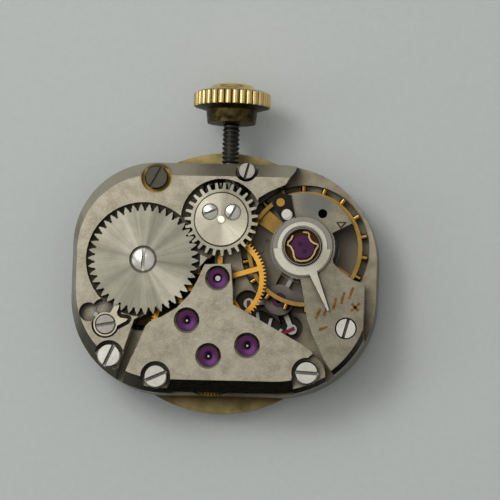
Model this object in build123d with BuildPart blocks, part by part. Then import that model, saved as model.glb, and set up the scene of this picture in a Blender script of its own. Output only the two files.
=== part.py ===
from build123d import *
import math
import os

os.makedirs("parts", exist_ok=True)

# A hand-wound lever watch movement, seen from its bridges along -Z, in millimetres.
# The origin is on the axis of the centre wheel, in the plane of the dial seat.
# +Y runs out along the winding stem to the crown and +Z from the dial to the bridges.

# Plate and dial
plate_length = 15.31
plate_width = 11.6
plate_land = 0.15
plate_corner = 4.15
lower_left_corner = 4.8
lower_right_corner = 4.95
upper_right_corner = 4.95
plate_shift_x = 0.15
plate_shift_y = 0.03
plate_thickness = 1.5
dial_radius = 6.6
dial_thickness = 0.3
dial_edge = 0.06
dial_hole_gap = 0.1
marker_length = 0.9
marker_width = 0.16
marker_height = 0.1
marker_circle = 5.7
dial_foot_radius = 0.25
dial_foot_height = 0.85

# Bridges, as heights above the plate's top face
barrel_bridge_height = 1.25
train_bridge_height = 1.1
cock_height = 1.15
bridge_underside = 0.5
cock_underside = 0.62
bevel_height = 0.8
bevel_top = 0.72
bevel_bottom = 0.78
bevel_left = 0.32
bevel_right = 0.34
bevel_corner_cut = 0.4
cock_bevel = 0.22
edge_break = 0.04

# Clearances
fit_gap = 0.01
running_gap = 0.03
wheel_gap = 0.08
cut_over = 0.5

# Train: teeth, modules and the direction from each axis to the next, in degrees
barrel_teeth = 72
centre_pinion_leaves = 12
barrel_module = 0.09198
centre_teeth = 80
third_pinion_leaves = 10
centre_module = 0.0582
third_teeth = 75
fourth_pinion_leaves = 10
third_module = 0.04948
fourth_teeth = 70
escape_pinion_leaves = 7
fourth_module = 0.05234
barrel_direction = 167.3
third_direction = -124.6
fourth_direction = -57.1
escape_direction = 16.3
pallet_direction = 60.2
balance_direction = 63.8
escape_to_pallet = 2.82
pallet_to_balance = 2.843

# Winding wheels
ratchet_teeth = 42
crown_wheel_teeth = 27
winding_module = 0.1276
crown_wheel_direction = 28.4
ratchet_thickness = 0.38
ratchet_depth = 0.32
crown_wheel_depth = 0.31
ratchet_recess_gap = 0.11
crown_recess_gap = 0.2
winding_floor = 0.5
winding_floor_gap = 0.07
core_radius = 1.36
core_hub_radius = 0.97
crown_tooth_root_share = 0.24
crown_tooth_tip_share = 0.13
core_cap = 0.24
core_pin_radius = 0.2

# Wheel blanks
wheel_thickness = 0.12
rim_width = 0.22
spoke_width = 0.24
hub_radius = 0.5
centre_spoke_angle = 16.6
spoke_count = 5

# Heights of the train above the dial seat
barrel_bottom = 0.47
barrel_height = 0.98
barrel_tooth_height = 0.3
barrel_wall = 0.12
barrel_floor = 0.14
escape_level = 0.8
fourth_level = 1.2
third_level = 1.55
centre_level = 1.8
balance_level = 1.42

# Arbors and pivots
pivot_radius = 0.055
centre_pivot_radius = 0.13
arbor_radius = 0.14
centre_arbor_radius = 0.2
pivot_length = 0.12
seat_radius = 0.19
centre_seat_radius = 0.3

# Jewels
jewel_radius = 0.52
centre_jewel_radius = 0.5
jewel_thickness = 0.28
jewel_cup_share = 0.52
jewel_gap = 0.02
jewel_sink = 0.13
lower_jewel_radius = 0.45
lower_jewel_thickness = 0.2

# Escapement
escape_teeth = 15
escape_tip = 1.88
escape_rim = 1.45
escape_rim_width = 0.22
escape_phase = 5.5
lever_level = 0.78
lever_thickness = 0.14
lever_hub = 0.3
lever_width = 0.2
fork_width = 0.5
fork_slot = 0.16
impulse_radius = 0.07
impulse_circle = 0.42
roller_radius = 0.6
safety_radius = 0.27
roller_thickness = 0.1
pallet_half_span = 34.0
stone_reach = 0.08
stone_seat = 0.4
stone_seat_radius = 0.26
stone_back = 0.14
stone_width = 0.17
stone_height = 0.2
stone_recess = 0.62
pallet_bridge_thickness = 0.2
pallet_boss = 0.78
pallet_jewel_radius = 0.34

# Balance
balance_radius = 2.9
balance_rim = 0.2
balance_height = 0.3
arm_root_width = 0.5
arm_end_width = 0.85
arm_thickness = 0.12
arm_angle = 143.0
balance_hub = 0.42
balance_screw_radius = 0.149
balance_screw_length = 0.26
balance_screw_count = 18
staff_radius = 0.12
collet_radius = 0.28
collet_height = 0.16
hairspring_turns = 3.5
hairspring_strip = 0.05
hairspring_height = 0.12
hairspring_radius = 2.02
hairspring_level = 0.42

# Shock settings, regulator and stud
shock_radius = 0.93
shock_collar = 0.98
shock_rise = 0.26
shock_bore = 0.86
cap_jewel_radius = 0.57
cap_jewel_thickness = 0.12
hole_jewel_radius = 0.4
lyre_width = 0.08
lyre_thickness = 0.05
regulator_inner = 1.05
regulator_ring = 1.24
regulator_wide = 1.44
regulator_thickness = 0.12
regulator_angle = -66.3
pointer_reach = 3.47
pointer_base = 0.42
pointer_tip = 0.09
stud_ring = 1.5
stud_plate = 0.1
stud_angle = 118.0
stud_circle = 2.5
stud_radius = 0.21
stud_pin_radius = 0.25
stud_pin_circle = 1.87
cock_disc = 1.62
cock_hole_circle = 1.94
cock_hole_angle = 61.0
cock_hole_radius = 0.23

# Screws
bridge_screw_radius = 0.59
bridge_screw_head = 0.42
counterbore_radius = 0.76
foot_wall = 0.14
shank_radius = 0.28
cock_screw_radius = 0.53
small_screw_radius = 0.4
click_screw_radius = 0.51
setting_screw_radius = 0.43
setting_lever_boss = 0.24
setting_lever_width = 0.2
ratchet_screw_radius = 0.57
ratchet_screw_bore = 0.7
dial_side_screw_radius = 0.3
small_shank_radius = 0.18
screw_head = 0.3
screw_chamfer_share = 0.1
slot_share = 0.3
slot_depth = 0.2
slot_floor_share = 0.8
dome_share = 0.22

# Click
click_ring = 0.6
click_pocket_gap = 0.1
click_spring_wire = 0.03
click_spring_radius = 0.48
click_anchor = 0.12

# Keyless works
stem_x = 0.3
stem_height = 1.32
thread_radius = 0.45
thread_core = 0.36
thread_pitch = 0.225
stem_bearing = 0.33
stem_square = 0.3
stem_pilot = 0.2
stem_inner_end = 2.55
stem_groove_at = 5.2
stem_groove_width = 0.18
crown_inner_end = 7.95
crown_radius = 1.95
crown_length = 2.02
crown_lobes = 32
crown_lobe_radius = 0.178
crown_neck = 0.65
crown_skirt = 0.2
crown_grip = 0.6
crown_shoulder = 0.13
crown_cap = 0.27
crown_grip_at = 1.2
crown_cap_radius = 1.1
crown_neck_radius = 1.21
winding_pinion_inner = 4.32
winding_pinion_outer = 5.12
winding_pinion_radius = 1.2
winding_pinion_body = 0.62
winding_pinion_root = 0.96
winding_pinion_teeth = 17
sliding_pinion_inner = 3.2
sliding_pinion_outer = 4.24
sliding_pinion_radius = 0.6
sliding_groove_radius = 0.42
sliding_groove_width = 0.26
clutch_teeth = 12
clutch_depth = 0.1
setting_travel = 0.3
lever_plate_level = 0.14
lever_plate_thickness = 0.16
cover_level = 0.02
cover_thickness = 0.09
keyless_recess = 0.34

# Motion work
motion_module = 0.075
cannon_leaves = 12
minute_teeth = 36
minute_pinion_leaves = 10
hour_teeth = 40
setting_teeth = 14
minute_direction = 26.66
cannon_seat_radius = 0.36
cannon_radius = 0.4
cannon_tip = 1.05
cannon_bore = 0.2
hour_pipe_radius = 0.6
hour_pipe_tip = 0.7
hand_seat = 0.32
hour_level = 0.05
hour_thickness = 0.09
minute_level = 0.17
minute_thickness = 0.11
setting_wheel_height = 0.66

# Outlines, as shares of the plate's length and width
barrel_bridge_shares = [
    (0.255, 0.540), (-0.560, 0.540), (-0.560, -0.540), (-0.353, -0.510), (-0.334, -0.446),
    (-0.272, -0.189), (-0.152, -0.086), (-0.016, 0.110), (0.062, 0.140), (0.098, 0.190),
    (0.112, 0.270), (0.129, 0.350), (0.161, 0.376), (0.193, 0.396), (0.217, 0.409), (0.245, 0.472),
]
train_bridge_shares = [
    (-0.045, 0.058), (0.042, 0.063), (0.051, -0.045), (0.054, -0.113), (0.282, -0.277), (0.315, -0.305),
    (0.3235, -0.318), (0.310, -0.3335), (0.3046, -0.4019), (0.255, -0.427), (0.268, -0.560),
    (-0.340, -0.560), (-0.234, -0.215), (-0.220, -0.195), (-0.181, -0.172), (-0.132, -0.132),
    (-0.090, -0.071), (-0.066, -0.009),
]
left_foot_shares = [
    (-0.150, -0.560), (-0.150, -0.400), (-0.200, -0.345), (-0.276, -0.345), (-0.340, -0.560)
]
right_foot_shares = [
    (0.255, -0.427), (0.268, -0.560), (0.380, -0.480), (0.3653, -0.4227), (0.3566, -0.4093),
    (0.339, -0.363), (0.3197, -0.3416), (0.300, -0.335),
]
cock_shares = [
    (0.274, 0.013), (0.291, -0.093), (0.301, -0.167), (0.319, -0.232), (0.359, -0.339),
    (0.394, -0.408), (0.430, -0.520), (0.488, -0.300), (0.488, -0.011), (0.448, 0.003), (0.404, 0.046),
    (0.382, 0.075), (0.376, 0.107), (0.340, 0.150),
]
cock_wing_share = 0.938
cock_wing_start = 27.0
cock_wing_end = 105.0
cock_foot_shares = [
    (0.296, -0.130), (0.301, -0.167), (0.319, -0.232), (0.359, -0.339), (0.394, -0.408),
    (0.430, -0.520), (0.488, -0.300), (0.488, -0.130),
]
keyless_recess_shares = [
    (-0.170, 0.440), (-0.008, 0.440), (-0.008, 0.4945), (0.104, 0.4945), (0.104, 0.440), (0.140, 0.440),
    (0.140, 0.225), (-0.030, 0.225), (-0.035, 0.300), (-0.140, 0.345),
]
cover_shares = [
    (-0.176, 0.452), (0.135, 0.435), (0.135, 0.165), (0.100, 0.160), (0.050, 0.235), (-0.028, 0.235),
    (-0.033, 0.305), (-0.135, 0.350), (-0.176, 0.375),
]
dial_foot_shares = [(-0.914, -0.364), (0.864, -0.378)]
carrier_reach_share = 1.08
stud_carrier_shares = [(-0.460, 1.000), (-0.600, 0.800), (-0.355, 0.400), (-0.160, 0.480), (-0.250, 0.960)]
click_shares = [
    (-0.20, 0.50), (0.43, 1.04), (0.67, 1.50), (1.10, 1.66), (1.08, 1.38), (0.93, 1.04), (1.00, 0.78),
    (1.25, 0.56), (1.62, 0.52), (1.87, 0.48), (1.73, 0.30), (1.47, 0.16), (1.00, -0.10), (0.20, 0.0),
]
click_spring_share = (-0.20, 1.20)
click_well_share = (-1.45, 1.00)
lyre_shares = [
    (0.00, 0.86), (0.27, 0.84), (0.36, 0.74), (0.34, 0.60), (0.46, 0.36), (0.66, 0.22), (0.87, 0.16),
    (0.90, 0.03), (0.77, -0.13), (0.67, -0.42), (0.50, -0.66), (0.28, -0.80), (-0.09, -0.84),
    (-0.38, -0.78), (-0.50, -0.56), (-0.55, -0.27), (-0.70, 0.00), (-0.88, 0.10), (-0.86, 0.27),
    (-0.70, 0.42), (-0.60, 0.66),
]


def polar(start, distance, degrees):
    """The point at a distance and direction from another."""
    turn = math.radians(degrees)
    return (start[0] + distance * math.cos(turn), start[1] + distance * math.sin(turn))


def distance_between(one, other):
    return math.hypot(other[0] - one[0], other[1] - one[1])


def direction_between(one, other):
    return math.degrees(math.atan2(other[1] - one[1], other[0] - one[0]))


def on_plate(shares):
    """Outline points from their shares of the plate's length, without its land, and width."""
    return [(x * (plate_length - plate_land), y * plate_width) for x, y in shares]


def meshing_phase(teeth, phase, direction, next_teeth):
    """The angle of a tooth of the next wheel that stands in mesh with a wheel whose tooth is at phase."""
    along = (direction - phase) / (360 / teeth)
    return direction + 180 - (0.5 - along) * 360 / next_teeth


# Axes, each worked out from the one before it
centre = (0.0, 0.0)
barrel = polar(centre, barrel_module * (barrel_teeth + centre_pinion_leaves) / 2, barrel_direction)
third = polar(centre, centre_module * (centre_teeth + third_pinion_leaves) / 2, third_direction)
fourth = polar(third, third_module * (third_teeth + fourth_pinion_leaves) / 2, fourth_direction)
escape = polar(fourth, fourth_module * (fourth_teeth + escape_pinion_leaves) / 2, escape_direction)
pallet = polar(escape, escape_to_pallet, pallet_direction)
balance = polar(pallet, pallet_to_balance, balance_direction)
winding_distance = winding_module * (ratchet_teeth + crown_wheel_teeth) / 2
crown_wheel_axis = polar(barrel, winding_distance, crown_wheel_direction)
minute_axis = polar(centre, motion_module * (cannon_leaves + minute_teeth) / 2, minute_direction)
setting_axis_y = minute_axis[1] + math.sqrt(
    (motion_module * (minute_teeth + setting_teeth) / 2) ** 2 - (minute_axis[0] - stem_x) ** 2
)
setting_axis = (stem_x, setting_axis_y)

# The click's outline about its screw, whose first beak stands in a gap of the ratchet wheel
click_screw_place = on_plate([(-0.3667, -0.2118)])[0]
click_points = [
    (click_screw_place[0] + x * click_ring, click_screw_place[1] + y * click_ring) for x, y in click_shares
]

# Phases, so that every pair stands in mesh
centre_pinion_phase = meshing_phase(barrel_teeth, 0, barrel_direction + 180, centre_pinion_leaves)
third_pinion_phase = meshing_phase(centre_teeth, 0, third_direction, third_pinion_leaves)
fourth_pinion_phase = meshing_phase(third_teeth, 0, fourth_direction, fourth_pinion_leaves)
escape_pinion_phase = meshing_phase(fourth_teeth, 0, escape_direction, escape_pinion_leaves)
ratchet_phase = direction_between(barrel, click_points[3]) + 180 / ratchet_teeth
crown_wheel_phase = meshing_phase(ratchet_teeth, ratchet_phase, crown_wheel_direction, crown_wheel_teeth)
minute_phase = meshing_phase(cannon_leaves, 0, minute_direction, minute_teeth)
hour_phase = meshing_phase(minute_pinion_leaves, 0, minute_direction + 180, hour_teeth)
setting_phase = meshing_phase(
    minute_teeth, minute_phase, direction_between(minute_axis, setting_axis), setting_teeth
)

# Levels that several pieces share
barrel_bridge_top = plate_thickness + barrel_bridge_height
train_bridge_top = plate_thickness + train_bridge_height
cock_top = plate_thickness + cock_height
underside = plate_thickness + bridge_underside
cock_under = plate_thickness + cock_underside
winding_floor_level = barrel_bridge_top - winding_floor
ratchet_bottom = winding_floor_level + winding_floor_gap
ratchet_top = ratchet_bottom + ratchet_thickness
barrel_top = barrel_bottom + barrel_height
barrel_pitch = barrel_module * barrel_teeth / 2
centre_pitch = centre_module * centre_teeth / 2
third_pitch = third_module * third_teeth / 2
fourth_pitch = fourth_module * fourth_teeth / 2
ratchet_pitch = winding_module * ratchet_teeth / 2
ratchet_tip = ratchet_pitch + ratchet_depth * 0.3
ratchet_root = ratchet_tip - ratchet_depth
crown_wheel_pitch = winding_module * crown_wheel_teeth / 2
crown_wheel_tip = crown_wheel_pitch + crown_wheel_depth * 0.4
crown_wheel_root = crown_wheel_tip - crown_wheel_depth
lever_top = lever_level + lever_thickness
pallet_bridge_bottom = lever_top + wheel_gap * 2.5
pallet_bridge_top = pallet_bridge_bottom + pallet_bridge_thickness
balance_floor = pallet_bridge_bottom
plate_centre = (plate_shift_x, plate_shift_y)

# Screw places, as shares of the plate
barrel_screw_places = on_plate([(-0.2138, 0.4310), (-0.3517, -0.3460)])
train_screw_places = on_plate([(-0.1957, -0.4308), (0.3046, -0.4019)])
cock_screw_place = on_plate([(0.4305, -0.2067)])[0]
setting_screw_place = on_plate([(0.0853, 0.4690)])[0]
pallet_screw_place = on_plate([(0.3600, -0.0480)])[0]
cover_screw_places = on_plate([(-0.1517, 0.4224), (0.1110, 0.3050)])
steady_hole_place, steady_pin_place = on_plate([(0.1526, 0.1787), (0.1268, 0.1391)])
yoke_pivot_place = on_plate([(-0.1250, 0.3850)])[0]
dial_foot_places = [(x * dial_radius, y * dial_radius) for x, y in dial_foot_shares]
screw_slots = [62.0, 66.0, 24.0, -3.0]


def disc(place, radius, bottom, top, mode=Mode.ADD):
    """A round slab of the open part, or a round hole in it."""
    with BuildSketch(Plane.XY.offset(bottom)) as face:
        with Locations(place):
            Circle(radius)
    extrude(face.sketch, amount=top - bottom, mode=mode)


def ring(place, radius, hole, bottom, top, mode=Mode.ADD):
    """A flat ring of the open part."""
    with BuildSketch(Plane.XY.offset(bottom)) as face:
        with Locations(place):
            Circle(radius)
            Circle(hole, mode=Mode.SUBTRACT)
    extrude(face.sketch, amount=top - bottom, mode=mode)


def slab(points, bottom, top, mode=Mode.ADD, corner=0):
    """A flat piece of the open part with straight sides and, if asked, rounded corners."""
    with BuildSketch(Plane.XY.offset(bottom)) as face:
        with BuildLine():
            Polyline(*points, close=True)
        make_face()
        if corner:
            fillet(face.vertices(), radius=corner)
    extrude(face.sketch, amount=top - bottom, mode=mode)


def plate_face(level, left=0, right=0, lower=0, upper=0, corner_cut=0):
    """The plate's outline at a level, drawn in from each side, as a sketch of its own."""
    west = plate_centre[0] - (plate_length - plate_land) / 2 + left
    east = plate_centre[0] + (plate_length + plate_land) / 2 - right
    south = plate_centre[1] - plate_width / 2 + lower
    north = plate_centre[1] + plate_width / 2 - upper
    with BuildSketch(Plane.XY.offset(level), mode=Mode.PRIVATE) as face:
        with Locations(((west + east) / 2, (south + north) / 2)):
            Rectangle(east - west, north - south)
        for corner, radius in (
            ((west, north), plate_corner), ((west, south), lower_left_corner),
            ((east, south), lower_right_corner), ((east, north), upper_right_corner),
        ):
            fillet(face.vertices().sort_by_distance((*corner, 0))[0], radius=radius - corner_cut)
    return face.sketch


def bar(start, end, width, bottom, top, mode=Mode.ADD):
    """A straight bar of the open part between two places."""
    middle = ((start[0] + end[0]) / 2, (start[1] + end[1]) / 2)
    with BuildSketch(Plane.XY.offset(bottom)) as face:
        with Locations(middle):
            Rectangle(distance_between(start, end), width, rotation=direction_between(start, end))
    extrude(face.sketch, amount=top - bottom, mode=mode)


def tooth_points(teeth, root, tip, phase, root_share=0.29, tip_share=0.10):
    """A toothed outline: each tooth narrows from its root to its tip."""
    points = []
    for tooth in range(teeth):
        middle = phase + 360 * tooth / teeth
        for radius, share in (
            (root, -root_share), (tip * 0.35 + root * 0.65, -root_share * 0.86), (tip, -tip_share),
            (tip, tip_share), (tip * 0.35 + root * 0.65, root_share * 0.86), (root, root_share),
        ):
            points.append(polar((0, 0), radius, middle + share * 360 / teeth))
    return points


def toothed_face(place, points):
    """A toothed outline as a face of the open sketch."""
    with BuildSketch(mode=Mode.PRIVATE) as face:
        with BuildLine():
            Polyline(*points, close=True)
        make_face()
    with Locations(place):
        add(face.sketch)


def spoked_wheel(place, teeth, module, bottom, phase, spokes, spoke_angle, hole):
    """A train wheel: toothed rim, spokes and hub, added to the open part."""
    pitch = module * teeth / 2
    root = pitch - module * 1.2
    with BuildSketch(Plane.XY.offset(bottom)) as face:
        toothed_face(place, tooth_points(teeth, root, pitch + module, phase))
        with Locations(place):
            Circle(root - rim_width, mode=Mode.SUBTRACT)
            with PolarLocations(root / 2, spokes, start_angle=spoke_angle):
                Rectangle(root - rim_width / 2, spoke_width)
            Circle(hub_radius)
            Circle(hole, mode=Mode.SUBTRACT)
    extrude(face.sketch, amount=wheel_thickness)


def pinion(place, leaves, module, bottom, top, phase):
    """The leaves of a pinion, added to the open part."""
    pitch = module * leaves / 2
    with BuildSketch(Plane.XY.offset(bottom)) as face:
        toothed_face(
            place, tooth_points(leaves, pitch - module * 1.1, pitch + module * 0.8, phase, 0.20, 0.10)
        )
    extrude(face.sketch, amount=top - bottom)


def screw(place, head_radius, head_top, head_height, slot_angle, shank, shank_bottom, domed=False):
    """A slotted screw, its head flat with a broken edge or domed, added to the open part."""
    with BuildPart() as body:
        with BuildSketch(Plane.XY.offset(head_top - head_height)):
            Circle(head_radius)
        extrude(amount=head_height)
        if domed:
            rise = head_radius * dome_share
            ball = (head_radius ** 2 + rise ** 2) / (2 * rise)
            with Locations((0, 0, head_top - ball)):
                Sphere(ball, mode=Mode.INTERSECT)
        else:
            chamfer(body.edges().group_by(Axis.Z)[-1], length=head_radius * screw_chamfer_share)
        with BuildSketch(Plane.XY.offset(shank_bottom)):
            Circle(shank)
        extrude(amount=head_top - head_height - shank_bottom)
        with BuildSketch(Plane.XY.offset(head_top)):
            Rectangle(3 * head_radius, slot_share * head_radius, rotation=slot_angle)
        extrude(amount=-min(slot_depth, head_height * slot_floor_share), mode=Mode.SUBTRACT)
    with Locations((place[0], place[1], 0)):
        add(body.part)


def spindle(place, profile):
    """A turned piece about an upright axis, added to the open part: profile is (radius, height) pairs."""
    with BuildPart() as body:
        with BuildSketch(Plane.XZ):
            with BuildLine():
                Polyline(*profile, close=True)
            make_face()
        revolve(axis=Axis.Z)
    with Locations((place[0], place[1], 0)):
        add(body.part)


def jewel(place, radius, hole, bottom, top):
    """A hole jewel with its oil cup upwards, added to the open part."""
    cup = radius * jewel_cup_share
    spindle(
        place, [(hole, bottom), (radius, bottom), (radius, top), (cup, top), (hole, (bottom + top) / 2)]
    )


def turned(axis_plane, profile):
    """A turned piece about the stem's axis: profile is (distance along the stem, radius) pairs."""
    with BuildSketch(axis_plane) as face:
        with BuildLine():
            Polyline((profile[0][0], 0), *profile, (profile[-1][0], 0), close=True)
        make_face()
    revolve(face.sketch, axis=Axis((stem_x, 0, stem_height), (0, 1, 0)))


def spiral_strip(place, inner, outer, turns, thickness, start_angle):
    """A flat spiral strip as a face of the open sketch, through points of an even spiral."""
    steps = math.ceil(turns * 12)
    paths = []
    for side in (-thickness / 2, thickness / 2):
        path = []
        for step in range(steps + 1):
            share = step / steps
            path.append(
                polar(place, inner + (outer - inner) * share + side, start_angle + 360 * turns * share)
            )
        paths.append(path)
    with BuildLine() as edge:
        Spline(*paths[0])
        Line(paths[0][-1], paths[1][-1])
        Spline(*paths[1])
        Line(paths[1][0], paths[0][0])
    make_face(edge.edges())
    return min(
        distance_between(one, other) - thickness
        for start, one in enumerate(paths[0]) for other in paths[0][start + 8:]
    )


# The space that the bridges may fill: the plate's outline, drawn in above the bevel
with BuildPart() as bridge_space:
    bevel_foot = barrel_bridge_top - bevel_height
    extrude(plate_face(plate_thickness), amount=bevel_foot - plate_thickness)
    loft(
        [
            plate_face(bevel_foot).face(),
            plate_face(
                barrel_bridge_top, bevel_left, bevel_right, bevel_bottom, bevel_top, bevel_corner_cut
            ).face(),
        ],
        ruled=True,
    )

# The space of the balance cock, whose edge is only narrowly bevelled
with BuildPart() as cock_space:
    extrude(plate_face(plate_thickness), amount=cock_top - plate_thickness)
    chamfer(cock_space.edges().group_by(Axis.Z)[-1], length=cock_bevel)

stem_bore_plane = Plane((stem_x, 0, stem_height), x_dir=(1, 0, 0), z_dir=(0, 1, 0))
stem_profile_plane = Plane((stem_x, 0, stem_height), x_dir=(0, 1, 0), z_dir=(-1, 0, 0))


def stem_tunnel(radius, inner, outer):
    """A round hole about the stem's axis, cut from the open part."""
    with BuildSketch(stem_bore_plane.offset(inner)) as face:
        Circle(radius)
    extrude(face.sketch, amount=outer - inner, mode=Mode.SUBTRACT)


# The click spring's arc and the end of its pocket
spring_centre = (
    click_screw_place[0] + click_spring_share[0] * click_ring,
    click_screw_place[1] + click_spring_share[1] * click_ring,
)
spring_well = (
    click_screw_place[0] + click_well_share[0] * click_ring,
    click_screw_place[1] + click_well_share[1] * click_ring,
)

# Seats of the pallet stones, just outside the circle of the escape wheel's teeth
stone_places = [
    polar(escape, escape_tip + stone_seat, pallet_direction + side * pallet_half_span) for side in (1, -1)
]
lever_end = polar(pallet, pallet_to_balance - impulse_circle, balance_direction)
fork_root = polar(pallet, pallet_to_balance - impulse_circle - 3 * impulse_radius, balance_direction)

# Main plate: one milled piece with a pocket for each wheel
with BuildPart() as main_plate:
    extrude(plate_face(0), amount=plate_thickness)
    chamfer(main_plate.edges().group_by(Axis.Z)[0], length=edge_break * 2)
    disc(
        barrel, barrel_pitch + barrel_module + wheel_gap, barrel_bottom - running_gap,
        plate_thickness + cut_over, Mode.SUBTRACT,
    )
    disc(centre, centre_module * 13, barrel_bottom - running_gap, plate_thickness + cut_over, Mode.SUBTRACT)
    disc(
        third, third_pitch + third_module + wheel_gap, third_level - 2 * wheel_gap,
        plate_thickness + cut_over, Mode.SUBTRACT,
    )
    disc(
        fourth, fourth_pitch + fourth_module + running_gap * 2, fourth_level - wheel_gap,
        plate_thickness + cut_over, Mode.SUBTRACT,
    )
    disc(
        escape, escape_tip + wheel_gap, escape_level - wheel_gap, plate_thickness + cut_over, Mode.SUBTRACT
    )
    disc(
        balance, balance_radius + balance_screw_length + wheel_gap, balance_floor,
        plate_thickness + cut_over, Mode.SUBTRACT,
    )
    disc(
        balance, roller_radius + wheel_gap, escape_level - 3 * wheel_gap, plate_thickness + cut_over,
        Mode.SUBTRACT,
    )
    disc(
        pallet, lever_hub + 2 * wheel_gap, escape_level - 2 * wheel_gap, plate_thickness + cut_over,
        Mode.SUBTRACT,
    )
    bar(
        pallet, balance, fork_width * 2.2, escape_level - 2 * wheel_gap, plate_thickness + cut_over,
        Mode.SUBTRACT,
    )
    for stone_place in stone_places:
        bar(
            pallet, stone_place, fork_width * 1.4, escape_level - 2 * wheel_gap,
            plate_thickness + cut_over, Mode.SUBTRACT,
        )
        disc(
            stone_place, stone_recess, escape_level - 2 * wheel_gap, plate_thickness + cut_over,
            Mode.SUBTRACT,
        )
    disc(pallet, pallet_boss + running_gap, pallet_bridge_bottom, plate_thickness + cut_over, Mode.SUBTRACT)
    # Pockets on the dial side: keyless works and motion work
    slab(on_plate(keyless_recess_shares), -cut_over, keyless_recess, Mode.SUBTRACT, setting_lever_boss / 2)
    with BuildSketch(Plane.XY.offset(-cut_over)):
        with BuildLine():
            Polyline(*on_plate(cover_shares), close=True)
        make_face()
        offset(amount=running_gap)
    extrude(amount=cut_over + cover_level + cover_thickness + fit_gap, mode=Mode.SUBTRACT)
    bar(
        (stem_x, stem_groove_at), (stem_x, stem_groove_at + setting_travel + stem_groove_width * 1.2),
        2 * stem_groove_width, -cut_over, stem_height, Mode.SUBTRACT,
    )
    disc(centre, motion_module * (hour_teeth / 2 + 2), -cut_over, keyless_recess, Mode.SUBTRACT)
    disc(minute_axis, motion_module * (minute_teeth / 2 + 2), -cut_over, keyless_recess, Mode.SUBTRACT)
    disc(
        setting_axis, motion_module * (setting_teeth / 2 + 2), -cut_over,
        lever_plate_level + setting_wheel_height + running_gap, Mode.SUBTRACT,
    )
    # The winding and sliding pinions run in windows that go right through
    with BuildSketch(Plane.XY.offset(-cut_over)):
        with Locations((stem_x, (winding_pinion_inner + winding_pinion_outer) / 2)):
            Rectangle(
                2 * (winding_pinion_radius + wheel_gap),
                winding_pinion_outer - winding_pinion_inner + 2 * wheel_gap
            )
        with Locations((stem_x, (sliding_pinion_inner - setting_travel + sliding_pinion_outer) / 2)):
            Rectangle(
                2 * (sliding_pinion_radius + wheel_gap),
                sliding_pinion_outer - sliding_pinion_inner + setting_travel + 2 * wheel_gap,
            )
    extrude(amount=plate_thickness + 2 * cut_over, mode=Mode.SUBTRACT)
    stem_tunnel(thread_radius + running_gap, winding_pinion_outer, plate_width)
    stem_tunnel(stem_pilot + fit_gap, stem_inner_end - running_gap, winding_pinion_inner)
    # Arbor holes: barrel, centre, minute post, jewels and the balance's lower setting
    disc(barrel, centre_seat_radius + running_gap, -cut_over, plate_thickness, Mode.SUBTRACT)
    disc(centre, lower_jewel_radius + jewel_gap, -cut_over, plate_thickness, Mode.SUBTRACT)
    for place in (third, fourth, escape, pallet):
        disc(place, lower_jewel_radius + jewel_gap, -cut_over, plate_thickness, Mode.SUBTRACT)
    disc(balance, shock_radius + jewel_gap, -cut_over, keyless_recess, Mode.SUBTRACT)
    disc(balance, hole_jewel_radius, -cut_over, plate_thickness, Mode.SUBTRACT)
    for place in barrel_screw_places + train_screw_places + [cock_screw_place]:
        disc(
            place, shank_radius + jewel_gap, plate_thickness / 3, plate_thickness + cut_over, Mode.SUBTRACT
        )
    disc(
        pallet_screw_place, small_shank_radius + jewel_gap, plate_thickness / 4, plate_thickness,
        Mode.SUBTRACT,
    )
    disc(
        setting_screw_place, small_shank_radius + jewel_gap, -cut_over, plate_thickness + cut_over,
        Mode.SUBTRACT,
    )
    for place in cover_screw_places:
        disc(place, small_shank_radius + jewel_gap, -cut_over, plate_thickness * 0.6, Mode.SUBTRACT)
    for place in dial_foot_places:
        disc(place, dial_foot_radius + jewel_gap, -cut_over, dial_foot_height + jewel_gap, Mode.SUBTRACT)
    # A steady hole and the head of a pin in the balance's pocket
    disc(
        steady_hole_place, pivot_radius * 1.5, balance_floor - pivot_length, balance_floor + cut_over,
        Mode.SUBTRACT,
    )
    disc(steady_pin_place, seat_radius, balance_floor, balance_floor + wheel_gap)
    # Posts for the minute wheel, the setting wheel and the yoke
    disc(minute_axis, arbor_radius, cover_level + cover_thickness, keyless_recess + cut_over)
    disc(setting_axis, arbor_radius, cover_level + cover_thickness, plate_thickness * 0.6)
    disc(yoke_pivot_place, arbor_radius, cover_level + cover_thickness, keyless_recess + cut_over)
main_plate.part.label = "main_plate"
export_step(main_plate.part, "parts/main_plate.step")

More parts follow.
